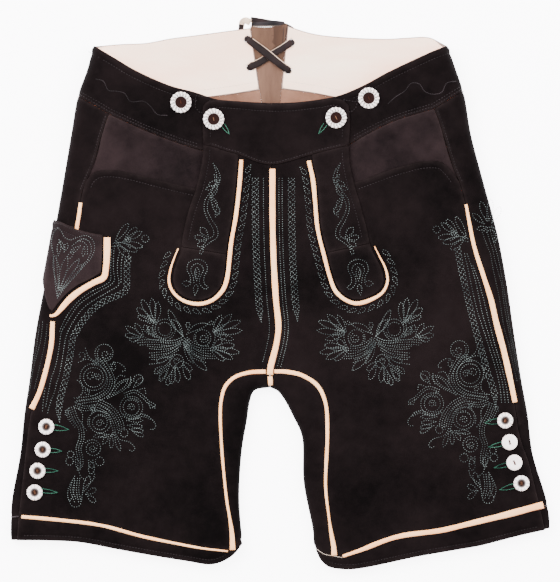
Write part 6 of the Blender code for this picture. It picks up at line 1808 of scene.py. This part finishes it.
SIDE_TOP = {"right": (-180.7, 58.1), "left": (206.0, 63.6)}      # foot of the leaves over the side border
BORDER_BRAID = {
    "right": ((-165.6, 43.5), (-166.8, 31.4), (-166.8, 18.2), (-168.1, 7.2), (-176.0, 1.7), (-188.1, -3.3),
        (-198.0, -9.0), (-205.7, -15.6), (-212.3, -23.2), (-217.9, -30.8), (-222.6, -38.4), (-226.5, -46.0),
        (-228.4, -61.1), (-231.2, -74.2), (-233.2, -85.8), (-236.0, -97.4), (-238.8, -106.6),
        (-240.7, -116.1), (-241.7, -127.1), (-240.7, -138.1)),
    "left": ((195.9, 53.6), (198.0, 40.2), (202.7, 18.2), (207.7, -3.7), (212.9, -25.6), (218.7, -47.3),
        (223.3, -62.7), (227.9, -80.5), (232.5, -93.6), (236.4, -106.0), (237.9, -121.4)),
}
BORDER_ROWS = {  # the rows between the piping and the braid
    "right": (((-184.1, 51.2), (-184.6, 38.0), (-184.8, 27.0), (-185.0, 17.6), (-192.5, 11.6),
            (-202.4, 7.2), (-215.2, -1.0), (-223.6, -9.2), (-232.2, -20.4), (-238.0, -31.4),
            (-240.5, -38.0)),
        ((-180.7, 55.6), (-181.5, 45.7), (-181.7, 29.2), (-180.8, 17.1), (-188.1, 10.7), (-196.9, 6.1),
            (-211.3, -2.5), (-220.8, -10.3), (-228.4, -21.3), (-234.1, -30.8), (-238.8, -39.1),
            (-241.0, -53.4), (-243.5, -68.8), (-246.4, -80.1), (-249.9, -89.7), (-252.1, -100.7),
            (-254.4, -111.4), (-255.9, -120.5)),
        ((-175.0, 48.0), (-176.9, 40.2), (-177.3, 26.4), (-176.0, 12.7), (-183.7, 7.4), (-190.9, 3.1),
            (-205.7, -5.6), (-213.2, -11.3), (-220.8, -19.8), (-226.1, -28.1), (-231.2, -37.4),
            (-234.1, -46.0), (-237.8, -68.8), (-240.7, -83.9), (-243.5, -93.4), (-246.4, -104.7),
            (-251.1, -117.0), (-254.0, -127.5)),
        ((-170.3, 49.0), (-172.7, 40.2), (-173.1, 31.4), (-173.4, 16.0)),
        ((-256.7, -100.7), (-258.3, -111.7), (-259.7, -125.6))),
    "left": (((203.5, 46.8), (207.7, 29.2), (211.1, 12.3), (214.5, -2.9), (218.7, -19.2), (225.9, -41.2),
            (230.6, -55.6), (235.4, -71.0), (239.8, -86.4), (242.7, -100.7), (244.2, -116.1)),
        ((206.5, 46.8), (211.1, 33.3), (215.3, 18.2), (218.7, 3.0), (223.3, -19.2), (229.5, -40.2),
            (233.9, -55.0), (238.7, -69.9), (243.1, -85.8), (246.2, -100.7), (248.2, -116.1)),
        ((212.9, 33.6), (219.1, 16.5), (222.9, 3.0), (227.0, -13.0), (233.6, -40.2), (237.4, -55.0),
            (242.0, -69.9), (246.4, -85.2), (249.7, -100.7), (251.9, -116.1))),
}
WRAP_ROWS = {  # rows on the wrapped back, outside the side piping
    "right": (((-254.4, -30.8), (-255.9, -44.6), (-258.5, -58.9), (-261.8, -73.2), (-265.1, -87.5),
            (-268.4, -100.7)),
        ((-259.2, -28.1), (-260.7, -42.4), (-262.7, -53.4), (-265.8, -64.4), (-269.1, -76.5),
            (-271.9, -89.7), (-273.9, -102.9)),
        ((-262.9, -31.4), (-264.4, -43.5), (-266.6, -58.9), (-269.1, -69.9))),
    "left": (((222.4, 72.9), (226.3, 61.1), (232.1, 46.0), (234.6, 31.7), (238.0, 16.5), (241.5, -0.3),
            (244.8, -21.3), (247.5, -35.8), (251.9, -51.2), (255.8, -69.0), (258.8, -82.8), (261.1, -92.1)),
        ((227.9, 72.9), (230.5, 63.6), (234.6, 51.0), (236.9, 40.0), (240.6, 26.6), (243.9, 14.9),
            (246.4, -4.5), (249.0, -20.4), (251.9, -36.5), (255.2, -53.5), (258.3, -69.0), (260.7, -80.9)),
        ((230.5, 76.2), (233.9, 65.3), (237.8, 51.8), (240.9, 40.0), (244.4, 21.6), (247.1, 5.0),
            (250.4, -14.9), (253.4, -34.2), (256.3, -49.6), (259.2, -63.3), (261.8, -76.7), (264.4, -89.7)),
        ((233.2, 77.6), (235.4, 68.8), (237.6, 58.9))),
}
WRAP_TOP = (  # a tuft over the rows on the wrapped back
    ("leaf", 0, 0, 108, 20, 6), ("leaf", 2, 0, 84, 22, 6), ("leaf", 5, -2, 62, 18, 6),
    ("leaf", -3, -3, 138, 15, 5), ("curl", 4, -14, 150, 8, -0.6, 0.9), ("curl", 4, -14, 150, 5, -0.6, 0.9),
    ("leaf", -1, -6, 196, 9, 4),
)
for side in SIDES:
    flip = 1 if side == "right" else -1
    runs = []
    for table, x, y, shift in ((BOUQUET, -104.5, -44.6, (0.0, 0.0)), (SCROLL, -191.4, -113.9, (5.0, 4.0))):
        dx, dy = shift if side == "left" else (0.0, 0.0)
        runs += laid(drawn(table, mirrored(x, side) + dx, y + dy, flip))
    # beside the flap's piping and round its tongue: a border of links
    pipe = spline(STRIPS[side]["pipe"])
    runs += laid(link_chain(beside(pipe, 8.4 * flip)[3:], 10.7, 10.2, 4.4, -28 * flip))
    # the columns down the centre front
    middle = spline(PIPINGS["piping_centre_front"])
    middle = middle[(middle[:, 1] < 131) & (middle[:, 1] > -74)]
    for off in ((9.8,) if side == "right" else (7.2, 10.8)):
        runs += laid([beside(middle, -off * flip)])
    column = beside(middle, -18.8 * flip if side == "right" else -21.0 * flip)
    runs += laid(braid(column[column[:, 1] > -28.0], 8.2, 7.4))
    x, y = SIDE_TOP[side]
    runs += laid(drawn(LEAF_TOP, x, y, flip, -8.0 if side == "right" else 0.0))
    if side == "left":
        runs += laid(drawn(WRAP_TOP, 228.1, 83.1))
    sew(f"embroidery_leg_{side}", runs, EMBROIDERY_THREAD, seed=11 + len(side), **DOTS)
    # the border along the side seam, and rows on the back where it is wrapped over on to the front
    border = laid([spline(line) for line in BORDER_ROWS[side]])
    border += laid(braid(spline(BORDER_BRAID[side]), 8.6, 6.8))
    sew(f"embroidery_border_{side}", border, EMBROIDERY_THREAD, seed=15 + len(side), **LONGER_DOTS)
    wrap = laid([spline(line) for line in WRAP_ROWS[side]])
    sew(f"embroidery_wrap_{side}", wrap, WORN_THREAD, seed=18 + len(side), **DOTS)
    # the flap's strip and tongue
    left = side == "left"
    on_flap = drawn(STRIP_VINE, mirrored(-71.0, side) - 6.0 * left, 98.5, flip)
    on_flap += drawn(TONGUE_ARCH, mirrored(-90.2, side) - 4.0 * left, 22.6, flip, 0.0, 1.04)
    on_flap = laid(on_flap, FLAP_UP + 0.12)
    sew(f"embroidery_flap_{side}", on_flap, EMBROIDERY_THREAD, seed=21 + len(side), **DOTS)
on_knife = laid_on(knife, drawn(KNIFE_HEART, -233.2, 35.8, 1, 0.0, 1.1))
sew("embroidery_knife_pocket", on_knife, EMBROIDERY_THREAD, seed=31, **DOTS)


# ---------------------------------------------------------------- buttonholes
# Worked slits in bright green silk beside the flap and leg buttons: close stitches over both edges of the
# slit, run together to a point at the end away from the button.
GREEN_SILK = yarn("green_silk", (27, 70, 57), (70, 118, 98), rough=0.5)
BUTTONHOLES = {  # button: the two edges of the slit where the button hides them, and its far end
    "leg_right_1": ((-247.0, -140.7), (-247.0, -146.6), (-231.0, -146.0)),
    "leg_right_2": ((-251.4, -166.4), (-251.4, -171.1), (-238.3, -169.5)),
    "leg_right_3": ((-257.0, -188.4), (-256.7, -192.8), (-242.6, -191.3)),
    "leg_right_4": ((-260.0, -210.7), (-259.6, -215.3), (-243.3, -215.1)),
    "leg_left_1": ((239.3, -133.9), (239.3, -139.8), (226.2, -138.5)),
    "leg_left_2": ((244.2, -159.4), (244.2, -164.0), (229.9, -164.9)),
    "leg_left_3": ((248.6, -182.5), (249.3, -186.9), (236.2, -187.8)),
    "leg_left_4": ((257.4, -205.2), (258.1, -210.7), (242.2, -212.0)),
    "flap_right": ((-63.1, 186.9), (-59.6, 189.1), (-54.6, 178.3)),
    "flap_left": ((49.1, 189.8), (52.6, 187.8), (43.6, 178.8)),
}
slits = []
for upper, lower, tip in BUTTONHOLES.values():
    upper, lower, tip = (np.array(q, float) for q in (upper, lower, tip))
    bow = (upper - lower) * 0.16
    lines = [spline([start, start * 0.45 + tip * 0.55 + bend, tip], 0.6)
             for start, bend in ((upper, bow), (lower, -bow))]
    slits += laid(lines, 0.15 + (0.0 if -150 < upper[1] < 0 else FLAP_UP))
sew("buttonholes", slits, GREEN_SILK, 0.8, 1.05, 0.6, 0.7, turn=1.3, stray=0.3, seed=41)


# ---------------------------------------------------------------- button threads
# Brown linen thread through the middle of each button, one bar across it.
LINEN = yarn("brown_linen", (66, 45, 34), (112, 80, 60))
DARK_LINEN = yarn("dark_linen", (34, 16, 10), (72, 38, 24))
RUST_LINEN = yarn("rust_linen", (44, 12, 6), (80, 28, 14))
BAR = {
    "waist": (3.0, 1.2), "flap": (3.4, 1.4), "leg": (3.4, 2.6), "leg_top": (3.4, 1.0), "plain": (4.6, 2.2),
}      # how long and how wide
bars = {}
for name, x, y, across, layer in BUTTONS:
    kind = "plain" if name in PLAIN_BUTTONS else name.split("_")[1]
    reach, way = BAR[kind][0], {"plain": 104, "leg": 78}.get(kind, 104) + 9 * (len(bars.get(kind, [])) % 4)
    line = turned([(-reach / 2, 0), (0, 0), (reach / 2, 0)], way) + (x, y)
    high = layer + SEAM + (3.0 if kind == "plain" else 1.9)
    bars.setdefault(kind, []).append(on_leather(line, high))
    if kind == "leg":
        bars.setdefault("leg_top", []).append(on_leather(line, high + 0.5))
for kind, lines in bars.items():
    thread = {"waist": DARK_LINEN, "leg_top": DARK_LINEN, "plain": RUST_LINEN}.get(kind, LINEN)
    sew(f"button_threads_{kind}", lines, thread, 0.55, 0.9, BAR[kind][1], 0.9, stray=0.1, seed=51)
